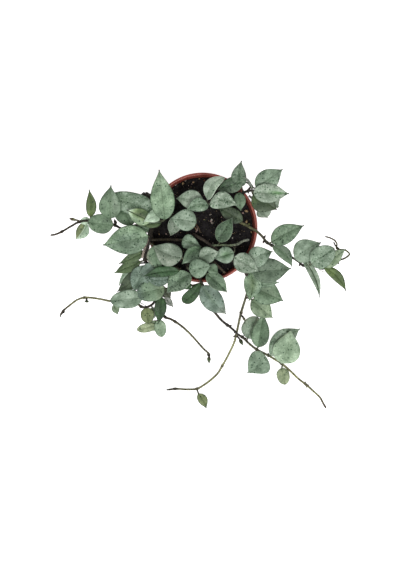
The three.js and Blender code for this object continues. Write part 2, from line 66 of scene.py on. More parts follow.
# Soil. A layer of lumps has a height and a number of lumps to the millimetre.
SOIL_TOP = 84
SOIL_GAP = 0.3
SOIL_RINGS = 70
SOIL_SEGMENTS = 200
LUMPS = ((0.9, 0.09), (0.7, 0.3), (0.45, 0.9), (0.25, 2.1))
CRUMBS = 1500
CRUMB_EDGE = 1.5
CRUMB_SIZE = (0.5, 0.9)
CRUMB_IS_BIG = 0.3
CRUMB_RISE = 0.15
CRUMB_TILT = 0.5
CRUMB_DENTS = (0.7, 1.15)
CHIP_RISE = 0.3
CHIP_FLATNESS = 0.8
CURL_STEP = 0.7

# Leaves
LEAF_THICKNESS = 1.3
LEAF_EDGE = 0.6
LEAF_ARCH = 0.05
PUFF = 0.07
PUFF_OUTWARD = 0.8
TIP_DROOP = 0.5
DROOP_START = 0.8
CREASE_DROP = 0.45
EDGE_WAVES = (0.9, 1.6)
EDGE_WAVE_HEIGHT = (0.012, 0.03)
SIDES_OUT_OF_STEP = 2.1
WAVY_FROM = 4
TIP_INSET = 0.6
HALF_BLEND = 0.2
PART_BLEND = 0.3
ROOT_END = 0.42
END_START = 0.65
LEAF_ROWS = 24
LEAF_COLUMNS = 12
BASE_OUTLINE = (2.2, 0.62)
TIP_OUTLINE = (2.1, 1.4)
BLUNT_OUTLINE = (2.3, 0.6)

# Stems, their swollen nodes, leaf stalks, buds and twigs
STEM_SIDES = 12
TWIG_SIDES = 8
STEM_STEP = 1.2
FOOT_HEIGHTS = (72, 86)
OLD_STEM = 1.45
STEM = 1.25
SHOOT = 1.0
TIP = 1.0
FINE = 0.75
UNEVEN = 0.08
UNEVEN_OFTEN = 0.35
NODE_REACH = 1.5
NODE_SWELL = 0.5
NODE_DARK = 0.8
END_TAPER = 0.6
STALK_RADIUS = 0.8
STALK_FLARE = 0.35
STALK_BEND = 0.4
STALK_OLIVE = 0.6
STALK_INTO_LEAF = 2.2
STALK_STEPS = 8
STALK_SIDES = 10
BUD_STEPS = 7
BUD_TIP = 0.25
BUD_WIDTH = 0.24
BUD_CURVE = 0.06
SILVER_VINES = ("vine_curved", "vine_east", "vine_northeast")

# Stage, in metres and watts. The picture is 570 mm tall at the height of the rim, and centred a
# little below the pot. A lamp has a name, a place, a size and a power.
PICTURE_HEIGHT = 0.57
PICTURE_CENTRE = (-0.0025, -0.0575)
CAMERA_DISTANCE = 4.75
SENSOR = 36
FLOOR_SIZE = 6
FLOOR_GLOW = 0.72
WORLD_STRENGTH = 0.4
LAMP_TARGET = (0, 0, 0.09)
LAMPS = (
    ("key", (0.35, -0.75, 1.5), 0.7, 15.5),
    ("fill", (-0.8, -0.3, 1.4), 1.0, 6),
    ("low", (0.1, -1.5, 0.55), 0.6, 5),
)

# Colours as seen, in hexadecimal
TONES = dict(
    sage="798d77", frost="8a9c88", ash="7e8b7a", silver="95a391", mint="a8bca2", milk="bcd0b8",
    jade="859d7f", celadon="96aa8f", grey="8a9086", teal="6c7e71", green="6a8066", fern="62735f",
    deep="4c6249", pine="395736", forest="2f4c29", moss="7c8d71", olive="5d7040", drab="4e613e",
    khaki="6d7950", straw="8e965c", lime="8ca274", fresh="547e4a", celery="92a386", flax="95a07e",
    dusk="485640", umber="3b422e", mauve="8c8e88", fawn="9e968a", bark="2a251e", cork="62594a",
    peat="443f2e", reed="6a6d4c", slate="544d45", hay="8c8f66", tan="c4aa80", stone="b0a69a",
    chalk="ded8ce", rust="68462e", shell="ceb0a8",
)


def linear(colour):
    """Linear values of a colour as seen"""
    return tuple(((c / 255 + 0.055) / 1.055) ** 2.4 for c in bytes.fromhex(colour))


TONE = {name: linear(colour) for name, colour in TONES.items()}


def mixed(a, b, share):
    return tuple(p + (q - p) * share for p, q in zip(a, b))


def smooth(value):
    """0 below 0, 1 above 1, and an easy rise between"""
    value = min(max(value, 0.0), 1.0)
    return value * value * (3 - 2 * value)


def shares(steps):
    """Even shares from 0 to 1"""
    return [i / steps for i in range(steps + 1)]


# What a leaf has unless it says otherwise. Roll turns it about its length, fold lifts its two
# halves, bow bends it to its right, blunt rounds its tip, widest is where it is widest and a
# crease bends down what lies to its left. Left, right, root and end are tones of those parts. Rib
# and rim are darker below 0 and lighter above it; a darker rib is partly the midrib's own colour
# and partly painted shade along the fold.
PLAIN_LEAF = dict(
    roll=0, fold=8, bow=0, blunt=False, widest=0.4, crease=-1, left=None, right=None, root=None, end=None,
    rib=-0.2, mottle=0.5, rim=-0.5,
)
VINES = []


def vine(name):
    """Starts a vine, to which the stems, leaves, buds and twigs after it belong"""
    VINES.append(dict(name=name, stems=[], leaves=[], buds=[], twigs=[]))


def stem(first, last, route, tones="bark bark", nodes=()):
    """A stem along a route, from its first radius to its last, thick at some of its points"""
    VINES[-1]["stems"].append(dict(radii=(first, last), route=route, tones=tones.split(), nodes=nodes))


def rooted(x, y, last, route, *rest):
    """A stem that starts upright in the soil"""
    stem(OLD_STEM, last, [(x, y, height) for height in FOOT_HEIGHTS] + route, *rest)


def leaf(base, tip, width, tone, *spots, **details):
    """A leaf. Each spot has a tone, places along and across, a length, a width and a strength."""
    shape = dict(PLAIN_LEAF, base=base, tip=tip, width=width, tone=tone, spots=spots)
    VINES[-1]["leaves"].append({**shape, **details})


def oval(*values, **details):
    """A leaf with a blunt tip"""
    leaf(*values, blunt=True, **details)


def bud(place, ahead, size, tone="bark"):
    """A bud or bract that points ahead"""
    VINES[-1]["buds"].append((place, ahead, size, tone))


def twig(radius, route, tone="bark"):
    """A thin root or old twig"""
    VINES[-1]["twigs"].append((radius, route, tone))


vine("vine_west")
rooted(-20, -12.5, TIP, [
    (-27, -12.3, 92), (-40, -12.2, 96.3), (-52, -12, 97.6), (-66, -7, 96.2), (-80.5, -1.5, 94),
    (-87.5, 2.3, 92.5), (-97, 5, 90), (-107, 6.5, 87.5), (-115.5, 7, 86), (-123.5, 5.8, 84.5),
    (-132.5, 1, 83), (-141, -4, 82.5), (-147.5, -6.8, 83.5), (-152.5, -7.6, 85),
], "slate peat bark bark peat cork", (7, 11, 13))
stem(SHOOT, SHOOT, [(-122, 6, 84.5), (-126.5, 7.6, 86), (-129.5, 7.5, 88.5)], "reed cork")
leaf((-112, 10.8, 89), (-113.4, 37.8, 97), 10.7, "olive", bow=0.045, rim=-1)
leaf((-112.5, 7.9, 84), (-124.5, 5.2, 82.5), 8, "milk", rib=0.4)
oval((-89.3, 2.2, 95.5), (-114.8, 5.4, 91.5), 19.9, "green", mottle=0.7)
leaf((-116.3, 5, 80.5), (-127.4, -11.6, 75), 14.4, "milk", fold=25, bow=-0.08, right="khaki", rib=0.5)
leaf((-92.1, 9, 97), (-91.3, 41.5, 111), 22.2, "green", ("ash", 0.5, 0.5, 0.5, 0.4, 0.6), bow=-0.02,
     mottle=0.4)
leaf((-20.2, -12, 95), (-1.2, -19.2, 96.5), 15, "sage", ("forest", 0.5, 0, 0.2, 0.2, 0.7), widest=0.25,
     mottle=0.6)
bud((-129, 7.5, 88), (-1, 0.45, 0.3), 5, "cork")
bud((-127.5, 7, 87.5), (-0.6, 0.5, 0.4), 5, "reed")
bud((-86.5, 3, 92.5), (-0.3, 1, 0.4), 6)
bud((-88, 2, 92.5), (0.4, 1, 0.2), 3)
bud((-141, -4, 82.5), (-0.8, 0.6, 0.5), 2)
# These two dark twigs lie along the west part of the rim and hide it: partly old debris, partly a dark
# stand-in for the shade there, which is painted shade.
twig(1.4, [(-49.5, 2, 94.5), (-53, -3, 96.5), (-53.4, -9, 96.5), (-51, -15, 94.5)])
twig(1.4, [(-47.5, 4, 92), (-50.6, -4, 95.2), (-50.9, -10, 95.2), (-49.5, -19, 93.5)])

vine("vine_northwest")
rooted(-42, 9, STEM, [
    (-42.2, 9, 96), (-44, 8.3, 103), (-49, 6.8, 106.3), (-54.5, 5.3, 106.6), (-62, 3.5, 105.2),
    (-71.5, 0.8, 102),
])
leaf((-37.5, 7.8, 109.5), (-43.2, 57, 121), 24.3, "jade", ("forest", 0.62, -0.45, 0.03, 0.12, 0.8),
     ("forest", 0.48, 0.1, 0.04, 0.06, 0.6), ("green", 0.2, 0.7, 0.03, 0.1, 0.7),
     ("mint", 0.8, 0, 0.2, 0.5, 0.5), root="green", end="celadon", rib=-0.3, mottle=0.6)
oval((-47.5, 18.1, 106), (-94, 30.1, 95), 22.5, "frost", ("green", 0.62, 0.1, 0.2, 0.5, 0.8),
     ("green", 0.3, -0.3, 0.3, 0.3, 0.6), mottle=0.9)
leaf((-70.7, 2.2, 98), (-82, 34, 88), 23, "green", ("deep", 0.3, 0.1, 0.2, 0.3, 0.6), bow=-0.05, end="grey")
leaf((-52, 5.8, 108.3), (-75.5, 17.3, 106.8), 16.5, "lime", ("khaki", 0.35, 0.3, 0.3, 0.4, 0.9),
     ("forest", 0.15, 0.6, 0.3, 0.5, 0.9), ("umber", 0.45, 0.12, 0.35, 0.07, 1),
     ("mint", 0.5, -0.7, 0.5, 0.4, 0.8), rib=-1, fold=4, mottle=0.3, end="milk")
leaf((-44, 13.5, 106.5), (-58.8, 5.6, 112), 12.8, "milk", widest=0.22, mottle=0.15, rim=0.3)
oval((-41.5, 4.5, 101), (-61, 3.2, 102.5), 9, "dusk", left="drab")
leaf((-28, 10, 99), (-32, -8.3, 94), 13.5, "ash", fold=15, bow=-0.08, rim=0.5)
twig(0.5, [(-44.5, 10, 103.5), (-47, 20, 101), (-50, 27, 100.5), (-54, 30, 100.5)])
twig(2.1, [(-51.5, 28.5, 100), (-54.5, 31.5, 100.8), (-57.5, 31.5, 100.2), (-60, 34, 99.6)])
twig(1.4, [(-50.5, 31, 99.5), (-53.5, 33, 99.6), (-57, 34.5, 99)])

vine("vine_southwest")
rooted(-43, 2, TIP, [
    (-46.5, 1, 93), (-51.5, -2, 99.5), (-53.4, -12.5, 102.4), (-55.6, -22.5, 101.5), (-57.8, -32, 97.5),
    (-53.5, -37, 93.5), (-48.5, -43, 90.5), (-46.5, -52, 87), (-46.5, -64, 83.5), (-49, -75.5, 82),
    (-56.5, -79.7, 81.5), (-61.5, -79.2, 82), (-65.7, -75.5, 83), (-74, -73, 83.5), (-83, -73, 83.5),
    (-92.5, -73.5, 83.5), (-102.5, -71.6, 83.5), (-112.5, -70.2, 83), (-118.5, -70.1, 82.5),
    (-125.5, -72.3, 81.5), (-132.5, -77.3, 80), (-139.6, -83.3, 78.5), (-142.4, -87.4, 77.5),
], "bark bark bark bark hay hay cork", (6, 13, 20, 23, 24))
stem(OLD_STEM, STEM, [
    (-53.9, -11, 102.2), (-56.3, -16.5, 103.8), (-58.3, -23.5, 103.5), (-60.5, -30.5, 101),
], "fawn fawn")
stem(SHOOT, STEM, [(-116, -70.2, 82.8), (-116.2, -72.4, 83), (-116.6, -74.8, 83.4)])
# Its lower half, which the crease bends down, is darker (sage): painted shade. The thin deep spot along the
# crease is painted shade in the crease.
leaf((-54.2, -9, 105.5), (-99.6, -17.6, 99), 29.2, "jade", ("deep", 0.5, -0.5, 0.35, 0.07, 0.5),
     ("green", 0.5, -0.8, 0.4, 0.2, 0.5), ("teal", 0.5, 0.2, 0.3, 0.3, 0.6), mottle=0.8, crease=-0.5,
     left="sage")
oval((-53, -3, 98.8), (-66, 2.3, 96), 9.5, "sage")
leaf((-48, -18, 102.8), (-42.3, -43.3, 100.5), 18, "green", ("fawn", 0.4, 0.9, 0.4, 0.15, 0.5), bow=0.05,
     mottle=0.6)
leaf((-58.5, -23.8, 98.5), (-83.6, -36.1, 92.5), 10.5, "drab", bow=-0.03, mottle=0.1)
leaf((-62, -34, 94), (-88.3, -45.6, 86), 11.5, "drab", mottle=0.1, rim=-0.2)
oval((-49, -37, 101), (-60, -47, 96.5), 12, "teal")
leaf((-57, -38, 96.5), (-69, -64, 84.5), 20, "teal", ("deep", 0.5, 0, 0.6, 0.6, 0.35), mottle=0.8)
leaf((-63.4, -42.9, 87), (-85.7, -64, 79.5), 15.5, "dusk", bow=-0.08, mottle=0.1, rim=-0.2)
leaf((-72.8, -42, 79), (-84.1, -57.8, 73), 7, "milk", roll=40)
oval((-38, -60.3, 92), (-66, -66.5, 89), 22, "green", end="teal", root="moss")
oval((-60.3, -70.1, 88), (-92.5, -73.5, 87), 18.9, "frost")
leaf((-88.5, -77, 82.5), (-85.3, -87, 79), 8, "moss")
oval((-55.8, -80, 80.5), (-54.5, -96.1, 78.5), 13.9, "khaki", mottle=0.1, rim=-0.8)
leaf((-50.4, -79.5, 79.5), (-47.9, -91, 76), 7.5, "grey", rim=0.6)
bud((-113.9, -73.8, 83.2), (-1, -0.1, 0.1), 4.6, "drab")
bud((-138.2, -83.4, 78.5), (-0.7, -0.7, 0), 4.4)
bud((-142.6, -87, 77.5), (0, -1, 0), 3, "grey")
twig(0.4, [(-65.2, -74.2, 80.5), (-61, -76, 80), (-56.5, -78.6, 80.5)], "grey")
twig(1.1, [(-53.8, -17, 95), (-55, -26, 94), (-56.4, -35.5, 92)], "stone")
twig(1.0, [(-52.8, -37.2, 94.5), (-50, -41, 93), (-47.8, -45, 91.2)], "fawn")

vine("vine_south")
rooted(-24, -31, TIP, [
    (-26.5, -33, 93), (-33, -38, 97), (-38, -44.5, 97.3), (-40.5, -53, 89.5), (-41, -62, 84.5),
    (-41.5, -73, 81), (-41, -83, 79.5), (-37.5, -89.7, 78.3), (-32.5, -91.5, 77.5), (-27.5, -94.3, 76),
    (-20.7, -99, 72.5), (-14.9, -104.2, 68), (-9.8, -109.5, 62.5), (-4.7, -115.3, 56.5), (1.2, -122, 49),
    (6.6, -127.6, 42), (6.9, -133.6, 37.5),
], "bark bark peat reed peat", (9, 11, 17))
stem(SHOOT, SHOOT, [(-41, -82, 79.5), (-43.5, -90, 77.5), (-46, -95.5, 76)])
leaf((-20.5, -30, 105), (-49.5, -18, 107), 24, "ash", ("fawn", 0.5, -0.6, 0.5, 0.4, 0.12), bow=-0.08)
leaf((-23.5, -43.5, 106), (-59, -48.7, 101.5), 11.5, "pine", bow=0.05, mottle=0.6)
leaf((-33, -51.5, 100), (-57, -50.5, 100), 13, "teal", mottle=0.9, bow=-0.06)
leaf((-41.5, -69, 86), (-44.2, -96.2, 82.5), 12.5, "forest", bow=-0.02)
leaf((-39.2, -60.5, 86.5), (-32, -70.8, 84), 9.4, "umber")
leaf((-37.7, -69.5, 83.5), (-29.4, -79.6, 81), 7, "mauve")
oval((-43.8, -92.3, 76.5), (-40.8, -109.8, 73), 12.2, "celadon", mottle=0.15)
oval((-47, -98.2, 76), (-65.9, -102.6, 74), 9.9, "flax", mottle=0.1)
oval((-46.5, -93, 75), (-51, -103.5, 70), 9, "celery")
bud((5.2, -126.2, 43), (0.5, -1, -0.6), 6)
bud((6.4, -129.8, 39), (0.05, -1, -0.4), 7.5, "drab")
bud((-20.5, -98.3, 72.5), (-0.6, -1, 0.3), 2.5)
twig(1.3, [(-52, -41, 97.5), (-47, -40.4, 97), (-42.5, -39.2, 96.6), (-38, -37, 96.4)])

vine("vine_southeast")
rooted(-8, -37, TIP, [
    (-6.5, -42, 92), (-3.5, -49, 97), (-0.5, -56, 98.5), (2.5, -62, 95.5), (5.5, -71, 90), (9.5, -81.5, 83),
    (13.8, -86.8, 78), (19, -92.8, 71.5), (25, -97.8, 64), (30.2, -101.9, 57.5), (36, -107.5, 49),
    (40, -110, 44), (48, -117.5, 34), (54.8, -122.7, 26), (67.1, -129.2, 14), (73.6, -133.2, 9),
    (80.5, -137.5, 5.5), (89.4, -145, 2.6), (97.8, -153.1, 1.8), (105.7, -159.2, 1.7), (114, -166.6, 1.6),
    (120.2, -172.7, 1.6), (123, -178, 1.7), (126, -183, 2),
], "cork bark peat bark bark reed hay hay cork", (10, 13, 15, 16, 18, 21))
stem(SHOOT, SHOOT, [(0, -55, 98), (-8, -57.5, 98), (-14, -58.8, 96.5), (-19.5, -60, 95)])
leaf((4.2, -46.3, 105), (24.8, -65.1, 98), 15.7, "deep", ("deep", 0.2, 0, 0.2, 0.6, 0.6), bow=-0.03,
     left="green", rim=0.4, mottle=0.9)
leaf((-0.8, -58.5, 101.5), (24, -87, 89), 21.3, "teal", ("green", 0.3, 0, 0.3, 0.2, 0.6), end="grey",
     bow=0.03)
oval((-2, -56.1, 99.5), (-19.7, -75, 92), 12.5, "forest", bow=-0.05, widest=0.65)
leaf((-12, -46.4, 104), (-35.5, -65.5, 98.5), 21, "fern", ("sage", 0.7, 0.3, 0.2, 0.5, 0.8),
     ("pine", 0.3, -0.2, 0.25, 0.3, 0.7), bow=0.07, rim=0.3, mottle=0.9, right="green")
oval((45.3, -111.6, 34.5), (55.9, -89.6, 31), 21.4, "frost")
leaf((56.6, -120.5, 29), (61.8, -85.6, 50), 18.4, "deep", left="green")
leaf((59.7, -124.9, 24), (45.5, -146.9, 16), 24.9, "sage", bow=-0.2)
# Its right side, under the edge of the leaf in front, is painted lighter (silver): painted light against
# that leaf's shadow.
leaf((68.8, -129, 17), (99.2, -101.9, 23), 20, "frost", bow=-0.09, right="silver", widest=0.52)
leaf((80.8, -136.8, 12.5), (89.9, -103.2, 32), 28.4, "celadon", widest=0.42, bow=0.03, mottle=0.4, rim=0.2)
oval((80.7, -142, 6), (84.2, -159.2, 3), 13.4, "flax", widest=0.36, rim=-0.9)
leaf((-11, -56.9, 99), (-20, -61.2, 96), 6.5, "pine", mottle=0.3)
bud((105.5, -159.5, 2), (1, -0.1, 0.2), 3.5, "cork")
bud((104, -158.5, 2), (0.5, 1, 0.3), 3, "cork")
bud((40, -110, 44), (0.9, 0.5, 0.2), 3)
bud((41.5, -111, 42.5), (1, -0.2, 0), 3)
bud((66, -129.5, 14.5), (0.4, 1, 0.4), 3.6)
bud((26.5, -98.5, 63), (0.9, 0, 0.2), 3.4)
twig(0.35, [(105.5, -160, 1.6), (106.2, -162, 1.2), (107, -163.8, 1)], "cork")

vine("vine_curved")
rooted(-9, -6.5, TIP, [
    (-5, -9, 91), (2.5, -13.5, 94), (9.5, -18.5, 96.5), (17.5, -24, 98.5), (27, -31, 100),
    (35, -37.5, 100.5), (40.5, -42.5, 100), (44, -47, 98), (45.2, -55, 93), (45, -63, 87.5),
    (43.8, -68.5, 83.5), (41.7, -75.5, 78), (38.8, -85.3, 68.5), (36.6, -95.5, 56.5), (34.8, -104.5, 45),
    (34, -108.5, 40), (32, -116, 31), (28, -125, 21.5), (24, -133, 14.5), (20.2, -139.7, 9.2),
    (15.8, -147.2, 5), (9.7, -153.3, 2.8), (2.6, -158.7, 2.1), (-5.5, -163.3, 2), (-14.8, -164, 1.8),
    (-22.9, -163.6, 1.7), (-28, -163.4, 1.8), (-35.1, -164.4, 2.2),
], "slate slate bark reed hay hay peat", (9, 14, 17, 21, 25, 28))
stem(STEM, STEM, [
    (9, -18.2, 96.4), (14, -17.8, 98), (20, -17.6, 99.5), (28, -18, 101), (35.5, -16.5, 102),
    (40.5, -13.5, 103), (46.5, -12.3, 104),
], "moss moss grey")
stem(SHOOT, SHOOT, [(38.2, -87.5, 66), (40.5, -89.5, 67), (42.3, -93, 65.5)])
stem(SHOOT, SHOOT, [(34, -108.5, 40), (37.5, -112, 39.5), (40, -117, 36)])
leaf((32, -29.5, 106), (56.5, -43.8, 112), 20, "silver", bow=0.02, mottle=0.9)
leaf((46.5, -34.5, 102.5), (69.8, -24, 106.5), 21, "frost", mottle=0.8, end="deep", bow=-0.05)
leaf((48.9, -43.3, 102), (88.6, -41, 99), 25.3, "fern", bow=0.02, mottle=0.6)
leaf((57, -58, 95.5), (76.8, -54.5, 95), 7, "sage")
leaf((48.5, -44.5, 97.5), (46.4, -73.5, 90), 18.5, "green", ("olive", 0.4, 0, 0.4, 0.5, 0.5), bow=-0.1,
     mottle=1, left="sage")
leaf((49.6, -58.9, 91.5), (81.1, -73.3, 86), 24.7, "green", ("moss", 0.5, -0.3, 0.4, 0.5, 0.5), mottle=0.4)
leaf((49.3, -72, 82.5), (70.5, -90.7, 74), 19.2, "moss")
leaf((16.5, -14.5, 101.5), (30, 9.8, 103.5), 16.8, "deep", bow=-0.03, rim=0.35, mottle=0.9)
leaf((31.3, -25, 104.5), (11.8, -31.2, 102.5), 17, "frost", ("fresh", 0.38, 0, 0.25, 0.4, 0.8),
     ("deep", 0.45, -0.1, 0.25, 0.15, 0.8), mottle=0.3, rim=-0.3)
leaf((-4, -168.4, 3), (4, -183.4, 2.5), 9.9, "khaki", bow=-0.06, rim=-0.9)
bud((40.8, -90, 66.5), (0.6, -1, 0), 4.6, "reed")
bud((37.6, -112, 39), (0.5, -1, -0.3), 7.5, "drab")
bud((34, -106, 42), (-1, 0.2, 0.1), 2.5, "cork")
bud((33.5, -109, 39.5), (-1, -0.4, 0), 3, "cork")
bud((-34.5, -164.3, 2.2), (-1, 0, 0.2), 2.5)

vine("vine_east")
rooted(26, 8, FINE, [
    (30, 8, 92.5), (36, 6, 96.5), (44, 2, 98.8), (50, -1.5, 99.5), (54.5, -4.2, 99.5), (59.5, -8.8, 98),
    (64.5, -15, 96), (69.5, -18, 94.5), (79, -23.3, 91.5), (89, -29.4, 88.5), (96.3, -34.2, 86.5),
    (101, -38, 85.5), (108.5, -37.6, 85), (115, -39.8, 84.5), (120, -41, 84.5), (129.5, -38.3, 86),
    (137.5, -32.5, 89), (142.5, -30.7, 91), (147, -26.5, 93), (143, -22.8, 94), (134, -21, 95.5),
    (134.4, -16.6, 97), (131.9, -12.8, 98.5), (127.6, -10.5, 100), (122.4, -9, 101.5),
], "reed reed bark bark peat reed cork", (8, 9, 13, 16))
stem(FINE, FINE, [(136.5, -21.2, 95.2), (132.8, -18, 97.3), (131, -14.5, 99)])
leaf((68.7, -14.8, 98.5), (101.2, 1.9, 103), 19.9, "green", bow=-0.03, mottle=0.9)
leaf((70.6, -18.6, 97.5), (89.7, -39.2, 90), 12.4, "green", bow=-0.12, left="fern")
# The deep spot near its tip is painted shadow, where the leaf above lies over its edge.
leaf((92.3, -30.8, 91), (118.5, -15.1, 94.5), 23.5, "frost", ("deep", 0.72, -0.35, 0.12, 0.35, 0.9),
     bow=-0.05, mottle=0.4)
oval((108.8, -36.1, 96), (131.5, -21.1, 105.5), 22.3, "frost", mottle=0.9)
leaf((120.3, -38, 90), (142.9, -21.7, 98.5), 15.3, "celery")
leaf((99.9, -30.7, 87.5), (117.3, -70.4, 79), 13, "silver", ("forest", 0.65, 0.1, 0.3, 0.2, 0.9), fold=48,
     bow=-0.09, rib=-1)
leaf((122, -39.5, 86), (144, -63.9, 81), 10.5, "olive", bow=-0.1, rim=-1, mottle=0.1)
leaf((40, 6.5, 98.5), (15.5, 20, 95.5), 15, "dusk", mottle=0.9)
bud((135, -34, 88.5), (0.6, -1, 0), 3.2, "cork")
bud((61, -11, 98), (0.6, 1, 0.3), 4)
bud((62, -12.5, 97.5), (-0.5, -1, 0.2), 4)
bud((65.5, -16, 96), (1, 0.3, 0.4), 3)
bud((98, -35.5, 86), (-0.3, -1, 0), 3.4)
twig(0.9, [(101, -31.4, 87), (105, -33, 87), (109.5, -35.4, 86.5), (112, -37, 86)])
twig(0.35, [(97.5, -33.5, 86), (97.6, -36, 85), (96.3, -38.5, 84)], "cork")
twig(0.3, [(115, -39, 84.2), (117.5, -42, 83.5), (120, -43.8, 83.5), (122.5, -44, 83.8)], "cork")

vine("vine_northeast")
rooted(33, 22, STEM, [(35, 27, 95), (39.5, 33.5, 100.5), (45, 36.3, 101.5), (52, 37, 102)])
stem(SHOOT, TIP, [(44, 36, 101.3), (47, 39, 103.5), (49, 41.8, 105)])
leaf((40.5, 45.8, 104.5), (14.5, 37.5, 101), 16.1, "deep", left="fern", mottle=1)
leaf((38.8, 41, 101), (38.9, 66, 113), 15.5, "fern", ("deep", 0.4, 0, 0.3, 0.4, 0.6), bow=-0.1, mottle=1)
leaf((50, 38.5, 105), (41.7, 50.3, 110), 8, "grey", roll=72, bow=-0.05)
leaf((36.4, 34.5, 104.5), (38.2, 16.5, 101.5), 12.3, "green")
# Its right side, under the edge of the leaf above, is painted lighter (frost): painted light against that
# leaf's shadow.
leaf((53.4, 38.8, 108.3), (80, 58, 109), 21.9, "sage", ("fresh", 0.4, 0.4, 0.3, 0.3, 0.25),
     ("green", 0.55, -0.3, 0.1, 0.1, 0.6), mottle=0.6, right="frost", rim=-0.3)
leaf((50.8, 34.6, 109), (86.3, 33.5, 111), 20, "silver", ("fresh", 0.7, -0.05, 0.26, 0.26, 1),
     ("forest", 0.97, 0, 0.05, 1, 0.8), mottle=0.8)
leaf((50.3, 33, 103.5), (74.2, 17.7, 103), 24.4, "dusk", ("umber", 0.92, 0, 0.14, 0.8, 0.7), root="drab",
     rib=-1)
leaf((55, 37, 101), (75.9, 20, 101.5), 27, "ash", widest=0.62, rim=0.3)
leaf((60.3, 22.8, 92), (65, 9.8, 90), 14.5, "ash", bow=0.14, widest=0.6, root="green")
bud((40.5, 34.5, 101), (-0.2, -1, 0.2), 4)
bud((45, 36.3, 102), (0.5, -1, 0.3), 3)
twig(1.3, [(46.4, 31.6, 98), (48.8, 30, 97.5), (51.6, 28.4, 97)], "mauve")

vine("stem_centre_north")
rooted(5, 22, STEM, [(5.5, 23, 97), (5, 25, 107)])
leaf((0.5, 26, 104), (-26.5, 29, 100), 19.5, "silver", bow=0.02)
leaf((6, 22, 109), (-16.4, 17, 108.5), 14.5, "sage", ("green", 0.4, -0.2, 0.4, 0.4, 0.7), bow=0.13,
     mottle=1)
oval((5, 28, 111), (21.6, 49.8, 117), 13.4, "silver", ("green", 0.6, 0.6, 0.4, 0.3, 0.5), bow=-0.19,
     rim=0.6)
leaf((7, 23, 111.5), (35, 21.6, 109), 17.5, "silver", ("green", 0.6, 0.1, 0.3, 0.3, 0.5), bow=-0.18,
     mottle=1.2)

vine("stem_centre_west")
rooted(-15, -2.5, STEM, [(-13, -0.5, 94), (-10.5, 2, 100)])
leaf((-6, 5.4, 102.5), (-32.5, 9, 105.5), 22, "frost", ("silver", 0.3, -0.4, 0.3, 0.4, 0.5), bow=0.02,
     mottle=0.15)

vine("stem_centre_south")
rooted(-4, -20.5, STEM, [(-4, -24, 94), (-9, -32, 100), (-15.5, -38.3, 103.5)])
stem(STEM, STEM, [
    (-4, -23, 92), (3, -28, 94.5), (9.5, -32.8, 95.5), (16, -39, 96), (22.5, -45.5, 96),
], "cork cork")
leaf((-0.5, -21, 100.5), (-20.5, -36.5, 104), 15.5, "sage", ("pine", 0.45, 0.35, 0.4, 0.3, 0.9),
     ("forest", 0.25, 0, 0.25, 0.3, 0.4), fold=12, bow=0.04, mottle=0.8, right="green")
leaf((-3, -31.5, 104.5), (16.7, -24.6, 107.5), 17, "silver", ("fern", 0.1, 0.3, 0.35, 0.9, 0.9), mottle=0.6,
     bow=-0.06)
leaf((-13.5, -42, 107.5), (8.7, -37.4, 112), 19.5, "sage", bow=0.04)
leaf((6.5, -38, 106.5), (15.5, -46, 107.5), 11, "green", root="fern", mottle=0.1)

# Chips that show on the soil: x, y, length, width and tone
CHIPS = [
    (-30.5, 42, 4.4, 2.8, "tan"), (-27, 43, 3.4, 2.4, "chalk"), (-19.5, 44.3, 4, 2.6, "tan"),
    (-17, 47, 3, 1.8, "stone"), (-9, 45.5, 3.2, 2.2, "tan"), (-3, 49, 2, 1.4, "tan"),
    (-32, 38.5, 3, 2, "rust"), (2, 47.5, 3, 2, "rust"), (-4, 17.3, 3.4, 2.4, "shell"),
    (9.3, 8, 3, 2.6, "chalk"), (9.7, 4.7, 3.4, 3, "stone"), (8.5, 6.4, 2.6, 2.4, "shell"),
    (19, 10.5, 2, 1.6, "shell"), (30, -10.3, 2, 1.6, "chalk"), (37.5, -6.5, 1.6, 1.4, "stone"),
    (49, -4.5, 2.4, 1.8, "tan"), (44, 16.5, 5, 3.4, "tan"), (40.5, 14.8, 3, 2.6, "shell"),
    (44, 6, 4.4, 2.8, "tan"), (46.5, 3.6, 3, 2, "straw"), (10.5, -15.5, 1.8, 1.4, "stone"),
    (25.5, -41.5, 2.2, 1.6, "stone"), (-36.5, -6.5, 2.6, 1.8, "shell"), (-31.5, -7.5, 2, 1.6, "rust"),
    (-43.5, -6.5, 2.4, 1.6, "tan"), (8, 13, 3.6, 1.6, "stone"), (-41, 12.5, 2, 1.4, "tan"),
    (17, 1.5, 1.6, 1.2, "stone"), (1.5, 8, 1.6, 1.4, "tan"),
]
# Curled bark on the soil: route, radius and the tones of its ends
CURLS = [
    ([(-8, 4, 85), (-6, 2.6, 86.5), (-4.2, 0.6, 86.8), (-3.2, -2, 86.2), (-2.4, -5, 85.2)], 0.8,
     "rust", "cork"),
    ([(-6.2, 1.5, 85.5), (-5.2, 0, 86.4), (-5.4, -2.6, 86.2), (-6.4, -4.4, 85.2)], 0.6,
     "cork", "shell"),
    ([(-9, 1, 84.6), (-7, -0.5, 85.6), (-5.8, -3, 85)], 0.7, "rust", "tan"),
]
# Tones of crumbs, each as often as it comes. Big crumbs have only the first seven.
CRUMB_TONES = "bark bark bark peat bark umber bark cork tan shell".split()
BIG_CRUMB_TONES = CRUMB_TONES[:7]


